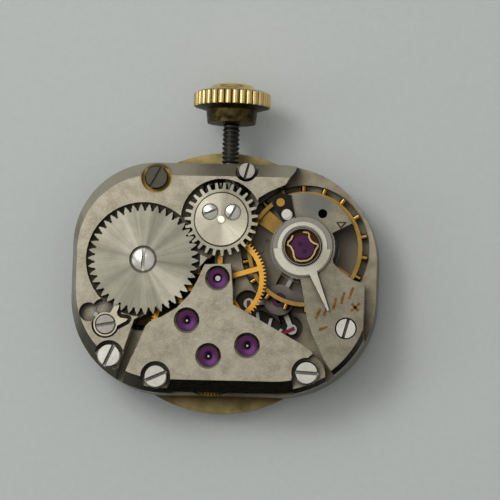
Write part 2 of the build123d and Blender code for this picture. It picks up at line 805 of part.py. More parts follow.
# Barrel bridge: carries the barrel arbor, the ratchet wheel and the crown wheel
with BuildPart() as barrel_bridge:
    slab(on_plate(barrel_bridge_shares), plate_thickness, barrel_bridge_top)
    add(bridge_space.part, mode=Mode.INTERSECT)
    disc(
        barrel, ratchet_tip + ratchet_recess_gap, winding_floor_level, barrel_bridge_top + cut_over,
        Mode.SUBTRACT,
    )
    disc(
        crown_wheel_axis, crown_wheel_tip + crown_recess_gap, winding_floor_level,
        barrel_bridge_top + cut_over, Mode.SUBTRACT,
    )
    # Pocket of the click and its spring, which opens into the ratchet's
    with BuildSketch(Plane.XY.offset(winding_floor_level)):
        with BuildLine():
            Polyline(*click_points, close=True)
        make_face()
        offset(amount=2 * click_pocket_gap)
        with Locations(click_screw_place):
            Circle(click_ring + click_pocket_gap)
        with Locations(spring_centre):
            Circle(click_spring_radius + click_pocket_gap)
        with Locations(spring_well):
            Circle(click_spring_radius)
    extrude(amount=barrel_bridge_top + cut_over - winding_floor_level, mode=Mode.SUBTRACT)
    # Space under the bridge for the barrel, the centre wheel and the third wheel
    disc(
        barrel, barrel_pitch + barrel_module + wheel_gap, plate_thickness - cut_over, underside,
        Mode.SUBTRACT,
    )
    disc(
        centre, centre_pitch + centre_module + wheel_gap, plate_thickness - cut_over, underside + fit_gap,
        Mode.SUBTRACT,
    )
    disc(
        third, third_pitch + third_module + wheel_gap, plate_thickness - cut_over, underside, Mode.SUBTRACT
    )
    disc(
        balance, balance_radius + balance_screw_length + wheel_gap, plate_thickness - cut_over,
        underside, Mode.SUBTRACT,
    )
    # Window of the winding pinion, and the upper half of the stem's bearing
    with BuildSketch(Plane.XY.offset(plate_thickness - cut_over)):
        with Locations((stem_x, (winding_pinion_inner + winding_pinion_outer) / 2)):
            Rectangle(
                2 * winding_pinion_radius, winding_pinion_outer - winding_pinion_inner + 2 * wheel_gap
            )
    extrude(amount=cut_over + winding_floor_level - plate_thickness + wheel_gap * 3, mode=Mode.SUBTRACT)
    with BuildSketch(Plane.XY.offset(plate_thickness - cut_over)):
        with Locations((stem_x, (sliding_pinion_inner - setting_travel + sliding_pinion_outer) / 2)):
            Rectangle(
                2 * (sliding_pinion_radius + wheel_gap),
                sliding_pinion_outer - sliding_pinion_inner + setting_travel + 2 * wheel_gap,
            )
    extrude(
        amount=cut_over + stem_height + sliding_pinion_radius + wheel_gap - plate_thickness,
        mode=Mode.SUBTRACT,
    )
    stem_tunnel(thread_radius + running_gap, winding_pinion_outer, plate_width)
    # Boss for the barrel arbor, then its hole and those of the screws
    disc(barrel, 3 * centre_seat_radius, barrel_top + wheel_gap, winding_floor_level)
    disc(
        barrel, centre_seat_radius * 1.5 + running_gap, plate_thickness - cut_over, barrel_bridge_top,
        Mode.SUBTRACT,
    )
    for place in barrel_screw_places:
        disc(
            place, counterbore_radius, barrel_bridge_top - bridge_screw_head,
            barrel_bridge_top + cut_over, Mode.SUBTRACT,
        )
        disc(place, shank_radius + jewel_gap, plate_thickness - cut_over, barrel_bridge_top, Mode.SUBTRACT)
    disc(
        setting_screw_place, setting_screw_radius * 1.35, barrel_bridge_top - bridge_screw_head * 1.5,
        barrel_bridge_top, Mode.SUBTRACT,
    )
    disc(
        setting_screw_place, small_shank_radius + jewel_gap, plate_thickness - cut_over,
        barrel_bridge_top, Mode.SUBTRACT,
    )
    disc(
        click_screw_place, small_shank_radius + jewel_gap, underside - cut_over, barrel_bridge_top,
        Mode.SUBTRACT,
    )
    for side in (-1, 1):
        place = polar(crown_wheel_axis, core_radius / 2, 90 + side * 57)
        disc(place, small_shank_radius + jewel_gap, underside - cut_over, barrel_bridge_top, Mode.SUBTRACT)
barrel_bridge.part.label = "barrel_bridge"
export_step(barrel_bridge.part, "parts/barrel_bridge.step")

# Train bridge: a tapering plate with four countersunk jewel holes, on two feet. The right foot is a low
# land that carries its screw's head
train_jewels = [
    (centre, centre_jewel_radius), (third, jewel_radius), (fourth, jewel_radius), (escape, jewel_radius)
]
with BuildPart() as train_bridge:
    slab(on_plate(train_bridge_shares), underside + jewel_gap, train_bridge_top)
    slab(on_plate(left_foot_shares), plate_thickness, train_bridge_top)
    slab(on_plate(right_foot_shares), plate_thickness, train_bridge_top - bridge_screw_head)
    disc(
        train_screw_places[1], counterbore_radius + foot_wall, plate_thickness,
        train_bridge_top - bridge_screw_head
    )
    add(bridge_space.part, mode=Mode.INTERSECT)
    for place, radius in train_jewels:
        disc(place, radius + jewel_gap, plate_thickness, train_bridge_top + cut_over, Mode.SUBTRACT)
        with BuildSketch(Plane.XY.offset(train_bridge_top)) as mouth:
            with Locations(place):
                Circle(radius + jewel_sink)
        extrude(mouth.sketch, amount=-jewel_sink, taper=44, mode=Mode.SUBTRACT)
    for place in train_screw_places:
        disc(
            place, counterbore_radius, train_bridge_top - bridge_screw_head, train_bridge_top + cut_over,
            Mode.SUBTRACT,
        )
        disc(place, shank_radius + jewel_gap, plate_thickness - cut_over, train_bridge_top, Mode.SUBTRACT)
train_bridge.part.label = "train_bridge"
export_step(train_bridge.part, "parts/train_bridge.step")

# Balance cock: a foot, an arm round the balance's upper setting and a wing
with BuildPart() as balance_cock:
    slab(on_plate(cock_shares), cock_under, cock_top)
    disc(balance, cock_disc, cock_under, cock_top)
    with BuildSketch(Plane.XY.offset(cock_under)) as wing:
        reach = balance_radius * cock_wing_share
        with BuildLine():
            CenterArc(balance, reach, cock_wing_start, cock_wing_end - cock_wing_start)
            Line(polar(balance, reach, cock_wing_end), balance)
            Line(balance, polar(balance, reach, cock_wing_start))
        make_face()
    extrude(wing.sketch, amount=cock_top - cock_under)
    slab(on_plate(cock_foot_shares), plate_thickness, cock_top)
    add(cock_space.part, mode=Mode.INTERSECT)
    disc(
        balance, balance_radius + balance_screw_length + wheel_gap, plate_thickness - cut_over,
        cock_under, Mode.SUBTRACT,
    )
    disc(balance, shock_radius + jewel_gap, plate_thickness, cock_top + cut_over, Mode.SUBTRACT)
    disc(
        cock_screw_place, cock_screw_radius + jewel_gap, cock_top - screw_head, cock_top + cut_over,
        Mode.SUBTRACT,
    )
    disc(cock_screw_place, shank_radius + jewel_gap, plate_thickness - cut_over, cock_top, Mode.SUBTRACT)
    disc(
        polar(balance, cock_hole_circle, cock_hole_angle), cock_hole_radius, cock_under - cut_over,
        cock_top + cut_over, Mode.SUBTRACT,
    )
balance_cock.part.label = "balance_cock"
export_step(balance_cock.part, "parts/balance_cock.step")

# Pallet bridge: a boss over the pallet arbor and a band to its screw under the cock
with BuildPart() as pallet_bridge:
    disc(pallet, pallet_boss, pallet_bridge_bottom, pallet_bridge_top)
    bar(pallet, pallet_screw_place, pallet_boss, pallet_bridge_bottom, pallet_bridge_top)
    disc(pallet_screw_place, pallet_boss * 0.7, pallet_bridge_bottom, pallet_bridge_top)
    disc(pallet, pallet_jewel_radius + jewel_gap, pallet_bridge_bottom, pallet_bridge_top, Mode.SUBTRACT)
    disc(
        pallet_screw_place, small_shank_radius + jewel_gap, pallet_bridge_bottom, pallet_bridge_top,
        Mode.SUBTRACT,
    )
pallet_bridge.part.label = "pallet_bridge"
export_step(pallet_bridge.part, "parts/pallet_bridge.step")

# Dial: a disc with two feet, and its applied markers on the front
with BuildPart() as dial:
    with BuildSketch(Plane.XY.offset(-dial_thickness)):
        Circle(dial_radius)
    extrude(amount=dial_thickness)
    chamfer(dial.edges().group_by(Axis.Z)[0], length=dial_edge)
    disc(centre, hour_pipe_radius + dial_hole_gap, -dial_thickness - cut_over, cut_over, Mode.SUBTRACT)
    for place in dial_foot_places:
        disc(place, dial_foot_radius, -dial_thickness / 2, dial_foot_height)
dial.part.label = "dial"
export_step(dial.part, "parts/dial.step")

with BuildPart() as hour_markers:
    with BuildSketch(Plane.XY.offset(-dial_thickness)):
        with PolarLocations(marker_circle, 12):
            Rectangle(marker_length, marker_width)
    extrude(amount=-marker_height)
hour_markers.part.label = "hour_markers"
export_step(hour_markers.part, "parts/hour_markers.step")

# Screws of the bridges, in their counterbores
with BuildPart() as bridge_screws:
    for place, slot in zip(barrel_screw_places, screw_slots):
        screw(
            place, bridge_screw_radius, barrel_bridge_top, bridge_screw_head, slot, shank_radius,
            plate_thickness / 2,
        )
    for place, slot in zip(train_screw_places, screw_slots[2:]):
        screw(
            place, bridge_screw_radius, train_bridge_top, bridge_screw_head, slot, shank_radius,
            plate_thickness / 2,
        )
    screw(cock_screw_place, cock_screw_radius, cock_top, screw_head, 75, shank_radius, plate_thickness / 2)
bridge_screws.part.label = "bridge_screws"
export_step(bridge_screws.part, "parts/bridge_screws.step")

with BuildPart() as click_screw:
    screw(
        click_screw_place, click_screw_radius, barrel_bridge_top + edge_break, screw_head / 2, 10,
        small_shank_radius, underside,
    )
click_screw.part.label = "click_screw"
export_step(click_screw.part, "parts/click_screw.step")

with BuildPart() as pallet_bridge_screw:
    screw(
        pallet_screw_place, small_shank_radius * 1.8, pallet_bridge_top + wheel_gap / 2, wheel_gap / 2, 40,
        small_shank_radius, plate_thickness / 3,
    )
pallet_bridge_screw.part.label = "pallet_bridge_screw"
export_step(pallet_bridge_screw.part, "parts/pallet_bridge_screw.step")

with BuildPart() as setting_lever_screw:
    screw(
        setting_screw_place, setting_screw_radius, barrel_bridge_top - bridge_screw_head / 2,
        bridge_screw_head,
        75, small_shank_radius, lever_plate_level + lever_plate_thickness + fit_gap,
    )
setting_lever_screw.part.label = "setting_lever_screw"
export_step(setting_lever_screw.part, "parts/setting_lever_screw.step")

# Crown wheel core: a hub with a cap that holds the crown wheel down, on two screws
core_screw_places = [polar(crown_wheel_axis, core_radius / 2, 90 + side * 57) for side in (1, -1)]
core_split = barrel_bridge_top - core_cap
with BuildPart() as crown_wheel_core:
    disc(crown_wheel_axis, core_hub_radius, winding_floor_level, core_split)
    disc(crown_wheel_axis, core_radius, core_split, barrel_bridge_top)
    chamfer(crown_wheel_core.edges().group_by(Axis.Z)[-1], length=edge_break)
    for place in core_screw_places:
        disc(
            place, small_screw_radius + jewel_gap, barrel_bridge_top - core_cap / 2,
            barrel_bridge_top + cut_over, Mode.SUBTRACT,
        )
        disc(place, small_shank_radius + jewel_gap, winding_floor_level, barrel_bridge_top, Mode.SUBTRACT)
    disc(crown_wheel_axis, core_pin_radius, core_split, barrel_bridge_top + edge_break)
crown_wheel_core.part.label = "crown_wheel_core"
export_step(crown_wheel_core.part, "parts/crown_wheel_core.step")

with BuildPart() as crown_wheel_screws:
    for place, slot in zip(core_screw_places, (20, 62)):
        screw(
            place, small_screw_radius, barrel_bridge_top + edge_break, core_cap / 2 + edge_break, slot,
            small_shank_radius, underside + fit_gap, True,
        )
crown_wheel_screws.part.label = "crown_wheel_screws"
export_step(crown_wheel_screws.part, "parts/crown_wheel_screws.step")

# Jewels
with BuildPart() as bridge_jewels:
    for place, radius in train_jewels:
        hole = (centre_pivot_radius if place == centre else pivot_radius) + running_gap / 2
        jewel(
            place, radius, hole, train_bridge_top - jewel_sink - jewel_thickness,
            train_bridge_top - jewel_sink,
        )
    jewel(
        pallet, pallet_jewel_radius, pivot_radius + running_gap / 2, pallet_bridge_bottom, pallet_bridge_top
    )
bridge_jewels.part.label = "bridge_jewels"
export_step(bridge_jewels.part, "parts/bridge_jewels.step")

lower_jewel_tops = {
    "third": fourth_level - 2 * wheel_gap,
    "fourth": escape_level - 2 * wheel_gap,
    "escape": escape_level - 2 * wheel_gap,
    "pallet": escape_level - 3 * wheel_gap,
}
with BuildPart() as plate_jewels:
    for name, place in (("third", third), ("fourth", fourth), ("escape", escape), ("pallet", pallet)):
        jewel_top = lower_jewel_tops[name]
        jewel(
            place, lower_jewel_radius, pivot_radius + running_gap / 2, jewel_top - lower_jewel_thickness,
            jewel_top,
        )
    jewel(
        centre, lower_jewel_radius, centre_arbor_radius + running_gap / 2,
        barrel_bottom - running_gap - wheel_gap, barrel_bottom - running_gap,
    )
plate_jewels.part.label = "plate_jewels"
export_step(plate_jewels.part, "parts/plate_jewels.step")

# Barrel: toothed drum, snapped-in cover, arbor and mainspring
drum_radius = barrel_pitch - barrel_module * 1.2
cover_radius = drum_radius - barrel_wall / 2
with BuildPart() as barrel_drum:
    with BuildSketch(Plane.XY.offset(barrel_bottom)) as rim:
        toothed_face(barrel, tooth_points(barrel_teeth, drum_radius, barrel_pitch + barrel_module, 0))
    extrude(rim.sketch, amount=barrel_tooth_height)
    disc(barrel, drum_radius, barrel_bottom + barrel_tooth_height, barrel_top)
    disc(barrel, drum_radius - barrel_wall, barrel_bottom + barrel_floor, barrel_top, Mode.SUBTRACT)
    disc(barrel, cover_radius, barrel_top - barrel_floor, barrel_top, Mode.SUBTRACT)
    disc(barrel, centre_seat_radius + running_gap, barrel_bottom - cut_over, barrel_top, Mode.SUBTRACT)
barrel_drum.part.label = "barrel_drum"
export_step(barrel_drum.part, "parts/barrel_drum.step")

with BuildPart() as barrel_cover:
    ring(
        barrel, cover_radius - fit_gap, centre_seat_radius * 1.5 + running_gap,
        barrel_top - barrel_floor + fit_gap, barrel_top,
    )
barrel_cover.part.label = "barrel_cover"
export_step(barrel_cover.part, "parts/barrel_cover.step")

arbor_hub = 2.2 * centre_seat_radius
with BuildPart() as barrel_arbor:
    disc(barrel, centre_seat_radius, keyless_recess, ratchet_top - screw_head / 2 - fit_gap)
    disc(
        barrel, arbor_hub, barrel_bottom + barrel_floor + running_gap,
        barrel_top - barrel_floor - running_gap,
    )
    disc(
        barrel, centre_seat_radius * 1.5, barrel_top - barrel_floor - running_gap,
        winding_floor_level + fit_gap,
    )
    with BuildSketch(Plane.XY.offset(winding_floor_level)) as square:
        with Locations(barrel):
            Rectangle(centre_seat_radius * 2, centre_seat_radius * 2)
    extrude(square.sketch, amount=ratchet_top - screw_head - winding_floor_level)
    disc(barrel, small_shank_radius + jewel_gap, underside, barrel_bridge_top, Mode.SUBTRACT)
barrel_arbor.part.label = "barrel_arbor"
export_step(barrel_arbor.part, "parts/barrel_arbor.step")

with BuildPart() as mainspring:
    with BuildSketch(Plane.XY.offset(barrel_bottom + barrel_floor + running_gap)) as coil:
        mainspring_gap = spiral_strip(
            barrel, arbor_hub + hairspring_strip * 2, drum_radius - barrel_wall - hairspring_strip * 2, 4,
            hairspring_strip * 1.6, 0,
        )
    extrude(coil.sketch, amount=barrel_height - 2 * barrel_floor - 3 * running_gap)
mainspring.part.label = "mainspring"
export_step(mainspring.part, "parts/mainspring.step")
print("mainspring, least gap to itself", round(mainspring_gap, 3))

# Ratchet wheel and its screw, crown wheel
with BuildPart() as ratchet_wheel:
    with BuildSketch(Plane.XY.offset(ratchet_bottom)) as blank:
        toothed_face(
            barrel, tooth_points(ratchet_teeth, ratchet_root, ratchet_tip, ratchet_phase, 0.36, 0.05)
        )
        with Locations(barrel):
            Rectangle(
                2 * (centre_seat_radius + fit_gap), 2 * (centre_seat_radius + fit_gap), mode=Mode.SUBTRACT
            )
    extrude(blank.sketch, amount=ratchet_thickness)
    disc(barrel, ratchet_screw_bore, ratchet_top - screw_head / 2, ratchet_top + cut_over, Mode.SUBTRACT)
ratchet_wheel.part.label = "ratchet_wheel"
export_step(ratchet_wheel.part, "parts/ratchet_wheel.step")

with BuildPart() as ratchet_screw:
    screw(
        barrel, ratchet_screw_radius, ratchet_top + edge_break, screw_head / 2 + edge_break - fit_gap, 88,
        small_shank_radius, underside + fit_gap, True,
    )
ratchet_screw.part.label = "ratchet_screw"
export_step(ratchet_screw.part, "parts/ratchet_screw.step")

with BuildPart() as crown_wheel:
    with BuildSketch(Plane.XY.offset(ratchet_bottom)) as blank:
        toothed_face(
            crown_wheel_axis,
            tooth_points(
                crown_wheel_teeth, crown_wheel_root, crown_wheel_tip, crown_wheel_phase,
                crown_tooth_root_share, crown_tooth_tip_share
            ),
        )
        with Locations(crown_wheel_axis):
            Circle(core_hub_radius + running_gap, mode=Mode.SUBTRACT)
    extrude(blank.sketch, amount=ratchet_thickness)
    disc(
        crown_wheel_axis, core_radius + running_gap, core_split - running_gap, barrel_bridge_top,
        Mode.SUBTRACT,
    )
crown_wheel.part.label = "crown_wheel"
export_step(crown_wheel.part, "parts/crown_wheel.step")

# Click: a ring under the screw with two beaks towards the ratchet's teeth
click_bottom = winding_floor_level + running_gap
click_seat = barrel_bridge_top + edge_break - screw_head / 2 - fit_gap
with BuildPart() as click:
    disc(click_screw_place, click_ring, click_bottom, barrel_bridge_top - fit_gap)
    slab(click_points, click_bottom, barrel_bridge_top - fit_gap)
    disc(
        click_screw_place, click_screw_radius + jewel_gap, click_seat, barrel_bridge_top + cut_over,
        Mode.SUBTRACT,
    )
    disc(
        click_screw_place, small_shank_radius + running_gap, click_bottom, barrel_bridge_top, Mode.SUBTRACT
    )
click.part.label = "click"
export_step(click.part, "parts/click.step")

# Click spring: a wire bent round from its anchor to the back of the first beak
spring_level = winding_floor_level + click_spring_wire + fit_gap / 2
anchor_place = polar(spring_centre, click_spring_radius, 205)
with BuildPart() as click_spring:
    with BuildLine(Plane.XY.offset(spring_level)) as wire:
        CenterArc(spring_centre, click_spring_radius, 20, 185)
    with BuildSketch(Plane(wire.line @ 0, z_dir=wire.line % 0)):
        Circle(click_spring_wire)
    sweep()
    disc(anchor_place, click_anchor, winding_floor_level, spring_level + 2 * click_spring_wire)
click_spring.part.label = "click_spring"
export_step(click_spring.part, "parts/click_spring.step")

# Train wheels and pinions
train_top = train_bridge_top - jewel_sink - jewel_thickness / 2
with BuildPart() as centre_wheel:
    spoked_wheel(
        centre, centre_teeth, centre_module, centre_level, 0, spoke_count, centre_spoke_angle,
        centre_seat_radius + fit_gap,
    )
centre_wheel.part.label = "centre_wheel"
export_step(centre_wheel.part, "parts/centre_wheel.step")

with BuildPart() as centre_pinion:
    disc(centre, centre_arbor_radius, keyless_recess, barrel_bottom)
    disc(centre, cannon_bore - running_gap, -cannon_tip + dial_edge, barrel_bottom)
    pinion(
        centre, centre_pinion_leaves, barrel_module, barrel_bottom, centre_level - fit_gap,
        centre_pinion_phase,
    )
    disc(centre, centre_seat_radius, centre_level - fit_gap, centre_level + wheel_thickness + fit_gap)
    disc(centre, centre_pivot_radius, centre_level, train_top + jewel_thickness / 3)
centre_pinion.part.label = "centre_pinion"
export_step(centre_pinion.part, "parts/centre_pinion.step")

with BuildPart() as third_wheel:
    spoked_wheel(third, third_teeth, third_module, third_level, 0, spoke_count, 40, seat_radius + fit_gap)
third_wheel.part.label = "third_wheel"
export_step(third_wheel.part, "parts/third_wheel.step")

with BuildPart() as third_pinion:
    disc(third, pivot_radius, lower_jewel_tops["third"] - pivot_length, train_top + jewel_thickness / 3)
    disc(third, arbor_radius, lower_jewel_tops["third"] + fit_gap, third_level)
    disc(third, seat_radius, third_level, third_level + wheel_thickness + fit_gap)
    pinion(
        third, third_pinion_leaves, centre_module, third_level + wheel_thickness + fit_gap,
        centre_level + wheel_thickness + wheel_gap / 2, third_pinion_phase,
    )
third_pinion.part.label = "third_pinion"
export_step(third_pinion.part, "parts/third_pinion.step")

with BuildPart() as fourth_wheel:
    spoked_wheel(
        fourth, fourth_teeth, fourth_module, fourth_level, 0, spoke_count, 10, seat_radius + fit_gap
    )
fourth_wheel.part.label = "fourth_wheel"
export_step(fourth_wheel.part, "parts/fourth_wheel.step")

with BuildPart() as fourth_pinion:
    disc(fourth, pivot_radius, lower_jewel_tops["fourth"] - pivot_length, train_top + jewel_thickness / 3)
    disc(fourth, pivot_radius * 1.2, lower_jewel_tops["fourth"] + fit_gap, fourth_level)
    disc(fourth, seat_radius, fourth_level - wheel_gap, fourth_level + wheel_thickness + wheel_gap)
    pinion(
        fourth, fourth_pinion_leaves, third_module, fourth_level + wheel_thickness + wheel_gap,
        third_level + wheel_thickness + wheel_gap, fourth_pinion_phase,
    )
    disc(
        fourth, pivot_radius * 1.8, third_level + wheel_thickness,
        train_bridge_top - jewel_sink - jewel_thickness - fit_gap,
    )
fourth_pinion.part.label = "fourth_pinion"
export_step(fourth_pinion.part, "parts/fourth_pinion.step")

with BuildPart() as escape_wheel:
    with BuildSketch(Plane.XY.offset(escape_level)) as blank:
        with Locations(escape):
            Circle(escape_rim)
            Circle(escape_rim - escape_rim_width, mode=Mode.SUBTRACT)
            with PolarLocations(escape_rim / 2, 4, start_angle=escape_phase):
                Rectangle(escape_rim, escape_rim_width * 0.8)
            Circle(hub_radius * 0.8)
            Circle(seat_radius + fit_gap, mode=Mode.SUBTRACT)
        pitch = 360 / escape_teeth
        for tooth in range(escape_teeth):
            base = escape_phase + tooth * pitch
            with BuildLine():
                Polyline(
                    polar(escape, escape_rim - escape_rim_width / 2, base - pitch * 0.30),
                    polar(escape, escape_tip, base + pitch * 0.08),
                    polar(escape, escape_tip - escape_rim_width * 0.35, base + pitch * 0.24),
                    polar(escape, escape_rim - escape_rim_width / 2, base + pitch * 0.02),
                    close=True,
                )
            make_face()
    extrude(blank.sketch, amount=wheel_thickness)
escape_wheel.part.label = "escape_wheel"
export_step(escape_wheel.part, "parts/escape_wheel.step")

with BuildPart() as escape_pinion:
    disc(escape, pivot_radius, lower_jewel_tops["escape"] - pivot_length, train_top + jewel_thickness / 3)
    disc(escape, seat_radius, escape_level - wheel_gap / 2, escape_level + wheel_thickness + wheel_gap)
    pinion(
        escape, escape_pinion_leaves, fourth_module, escape_level + wheel_thickness + wheel_gap,
        fourth_level + wheel_thickness + wheel_gap, escape_pinion_phase,
    )
    disc(
        escape, pivot_radius * 1.8, fourth_level, train_bridge_top - jewel_sink - jewel_thickness - fit_gap
    )
escape_pinion.part.label = "escape_pinion"
export_step(escape_pinion.part, "parts/escape_pinion.step")

# Pallets: the lever with its fork, the arbor and the two stones
with BuildPart() as pallet_fork:
    disc(pallet, lever_hub, lever_level, lever_top)
    bar(pallet, fork_root, lever_width, lever_level, lever_top)
    bar(fork_root, lever_end, fork_width, lever_level, lever_top)
    for stone_place in stone_places:
        bar(pallet, stone_place, lever_width * 1.2, lever_level, lever_top)
        disc(stone_place, stone_seat_radius, lever_level, lever_top)
    bar(
        polar(fork_root, impulse_radius, balance_direction), polar(lever_end, cut_over, balance_direction),
        fork_slot, lever_level, lever_top, Mode.SUBTRACT,
    )
    for stone_place in stone_places:
        outward = direction_between(escape, stone_place)
        bar(
            polar(stone_place, -stone_seat, outward), polar(stone_place, stone_back + fit_gap, outward),
            stone_width + 2 * fit_gap, lever_level - cut_over, lever_top + cut_over, Mode.SUBTRACT,
        )
    disc(pallet, arbor_radius + fit_gap, lever_level - cut_over, lever_top + cut_over, Mode.SUBTRACT)
pallet_fork.part.label = "pallet_fork"
export_step(pallet_fork.part, "parts/pallet_fork.step")

with BuildPart() as pallet_arbor:
    disc(pallet, pivot_radius, lower_jewel_tops["pallet"] - pivot_length, pallet_bridge_top - fit_gap)
    disc(pallet, arbor_radius, lower_jewel_tops["pallet"] + fit_gap, pallet_bridge_bottom - fit_gap)
pallet_arbor.part.label = "pallet_arbor"
export_step(pallet_arbor.part, "parts/pallet_arbor.step")

with BuildPart() as pallet_stones:
    for stone_place in stone_places:
        outward = direction_between(escape, stone_place)
        bar(
            polar(stone_place, -stone_seat - stone_reach, outward), polar(stone_place, stone_back, outward),
            stone_width, lever_level - running_gap, lever_level - running_gap + stone_height,
        )
pallet_stones.part.label = "pallet_stones"
export_step(pallet_stones.part, "parts/pallet_stones.step")

# Balance: rim with screws, two arms, staff, roller, collet and hairspring
with BuildPart() as balance_wheel:
    ring(
        balance, balance_radius, balance_radius - balance_rim, balance_level, balance_level + balance_height
    )
    for angle in (arm_angle, arm_angle + 180):
        arm_end = polar(balance, balance_radius - balance_rim / 2, angle)
        slab(
            [
                polar(balance, arm_root_width / 2, angle + 90),
                polar(arm_end, arm_end_width / 2, angle + 90),
                polar(arm_end, arm_end_width / 2, angle - 90),
                polar(balance, arm_root_width / 2, angle - 90),
            ],
            balance_level, balance_level + arm_thickness,
        )
    disc(balance, balance_hub, balance_level, balance_level + arm_thickness)
    disc(balance, staff_radius * 2 + fit_gap, balance_level, balance_level + arm_thickness, Mode.SUBTRACT)
balance_wheel.part.label = "balance_wheel"
export_step(balance_wheel.part, "parts/balance_wheel.step")

with BuildPart() as balance_screws:
    for count in range(balance_screw_count):
        angle = arm_angle + 360 * (count + 0.5) / balance_screw_count
        seat = polar(balance, balance_radius + fit_gap, angle)
        away = polar((0, 0), 1, angle)
        seat_plane = Plane(
            (seat[0], seat[1], balance_level + balance_height / 2), z_dir=(away[0], away[1], 0)
        )
        with BuildSketch(seat_plane):
            Circle(balance_screw_radius)
        extrude(amount=balance_screw_length)
balance_screws.part.label = "balance_screws"
export_step(balance_screws.part, "parts/balance_screws.step")

shock_jewel_level = keyless_recess - cap_jewel_thickness
staff_bottom = shock_jewel_level + fit_gap
staff_top = cock_top - cap_jewel_thickness
with BuildPart() as balance_staff:
    disc(balance, pivot_radius, staff_bottom, staff_top)
    disc(
        balance, staff_radius, keyless_recess + pivot_length, cock_top - jewel_thickness * 1.4 - running_gap
    )
    disc(balance, staff_radius * 2, balance_level - wheel_gap, balance_level + arm_thickness)
    disc(balance, staff_radius * 3, balance_level - wheel_gap, balance_level - fit_gap)
balance_staff.part.label = "balance_staff"
export_step(balance_staff.part, "parts/balance_staff.step")

roller_bottom = lever_top + wheel_gap / 2
with BuildPart() as roller:
    ring(balance, roller_radius, staff_radius + fit_gap, roller_bottom, roller_bottom + roller_thickness)
    ring(balance, safety_radius, staff_radius + fit_gap, lever_level - 2 * wheel_gap, roller_bottom)
    disc(
        polar(balance, safety_radius, balance_direction + 180), impulse_radius * 1.5,
        lever_level - 3 * wheel_gap, roller_bottom, Mode.SUBTRACT,
    )
    disc(
        polar(balance, impulse_circle, balance_direction + 180), impulse_radius + fit_gap, roller_bottom,
        roller_bottom + roller_thickness, Mode.SUBTRACT,
    )
roller.part.label = "roller"
export_step(roller.part, "parts/roller.step")

with BuildPart() as impulse_jewel:
    disc(
        polar(balance, impulse_circle, balance_direction + 180), impulse_radius, lever_level,
        roller_bottom + roller_thickness,
    )
impulse_jewel.part.label = "impulse_jewel"
export_step(impulse_jewel.part, "parts/impulse_jewel.step")

hairspring_bottom = balance_level + hairspring_level
with BuildPart() as hairspring_collet:
    ring(
        balance, collet_radius, staff_radius + fit_gap, hairspring_bottom - running_gap,
        hairspring_bottom - running_gap + collet_height,
    )
hairspring_collet.part.label = "hairspring_collet"
export_step(hairspring_collet.part, "parts/hairspring_collet.step")

with BuildPart() as hairspring:
    with BuildSketch(Plane.XY.offset(hairspring_bottom)) as coil:
        least_gap = spiral_strip(
            balance, collet_radius + hairspring_strip, hairspring_radius, hairspring_turns,
            hairspring_strip,
            stud_angle - 360 * hairspring_turns,
        )
    extrude(coil.sketch, amount=hairspring_height)
hairspring.part.label = "hairspring"
export_step(hairspring.part, "parts/hairspring.step")
print("hairspring, least gap to itself", round(least_gap, 3))

# Shock settings, one in the cock and one in the plate, with their springs and jewels
shock_top = cock_top + shock_rise
with BuildPart() as shock_settings:
    ring(
        balance, shock_radius, hole_jewel_radius + fit_gap, cock_top - jewel_thickness * 1.4,
        cock_top - jewel_thickness / 2,
    )
    ring(balance, shock_radius, shock_bore, cock_top - jewel_thickness / 2, shock_top)
    ring(balance, shock_radius, shock_bore, 0, keyless_recess - cap_jewel_thickness)
    ring(
        balance, shock_radius, hole_jewel_radius + fit_gap, keyless_recess - cap_jewel_thickness,
        keyless_recess - fit_gap,
    )
shock_settings.part.label = "shock_settings"
export_step(shock_settings.part, "parts/shock_settings.step")

cap_bottom = cock_top - jewel_thickness / 2 + fit_gap
with BuildPart() as balance_jewels:
    ring(
        balance, hole_jewel_radius, pivot_radius + running_gap / 2, cock_top - jewel_thickness * 1.4,
        cap_bottom - fit_gap,
    )
    disc(
        balance, cap_jewel_radius, cap_bottom + running_gap, cap_bottom + running_gap + cap_jewel_thickness
    )
    ring(
        balance, hole_jewel_radius, pivot_radius + running_gap / 2, shock_jewel_level,
        keyless_recess - fit_gap,
    )
    disc(
        balance, cap_jewel_radius, shock_jewel_level - fit_gap - cap_jewel_thickness,
        shock_jewel_level - fit_gap,
    )
balance_jewels.part.label = "balance_jewels"
export_step(balance_jewels.part, "parts/balance_jewels.step")

with BuildPart() as shock_springs:
    for level in (cap_bottom + running_gap + cap_jewel_thickness + fit_gap, fit_gap):
        with BuildSketch(Plane.XY.offset(level)) as strip:
            with BuildLine() as path:
                Polyline(
                    *[(balance[0] + x * shock_bore, balance[1] + y * shock_bore) for x, y in lyre_shares]
                )
            trace(path.line, lyre_width)
        extrude(strip.sketch, amount=lyre_thickness)
shock_springs.part.label = "shock_springs"
export_step(shock_springs.part, "parts/shock_springs.step")

# Stud carrier and regulator, which turn about the upper setting
carrier_bottom = cock_top + fit_gap
carrier_top = carrier_bottom + stud_plate
carrier_reach = stud_circle * carrier_reach_share
stud_place = polar(balance, stud_circle, stud_angle)
with BuildPart() as stud_carrier:
    ring(balance, stud_ring, shock_collar, carrier_bottom, carrier_top)
    slab(
        [(balance[0] + x * carrier_reach, balance[1] + y * carrier_reach) for x, y in stud_carrier_shares],
        carrier_bottom, carrier_top
    )
    disc(balance, shock_collar, carrier_bottom, carrier_top, Mode.SUBTRACT)
    disc(
        stud_place, stud_radius + fit_gap, carrier_bottom - cut_over, carrier_top + cut_over, Mode.SUBTRACT
    )
    disc(
        polar(balance, stud_pin_circle, stud_angle), stud_pin_radius, carrier_top,
        carrier_top + stud_plate * 1.4,
    )
stud_carrier.part.label = "stud_carrier"
export_step(stud_carrier.part, "parts/stud_carrier.step")

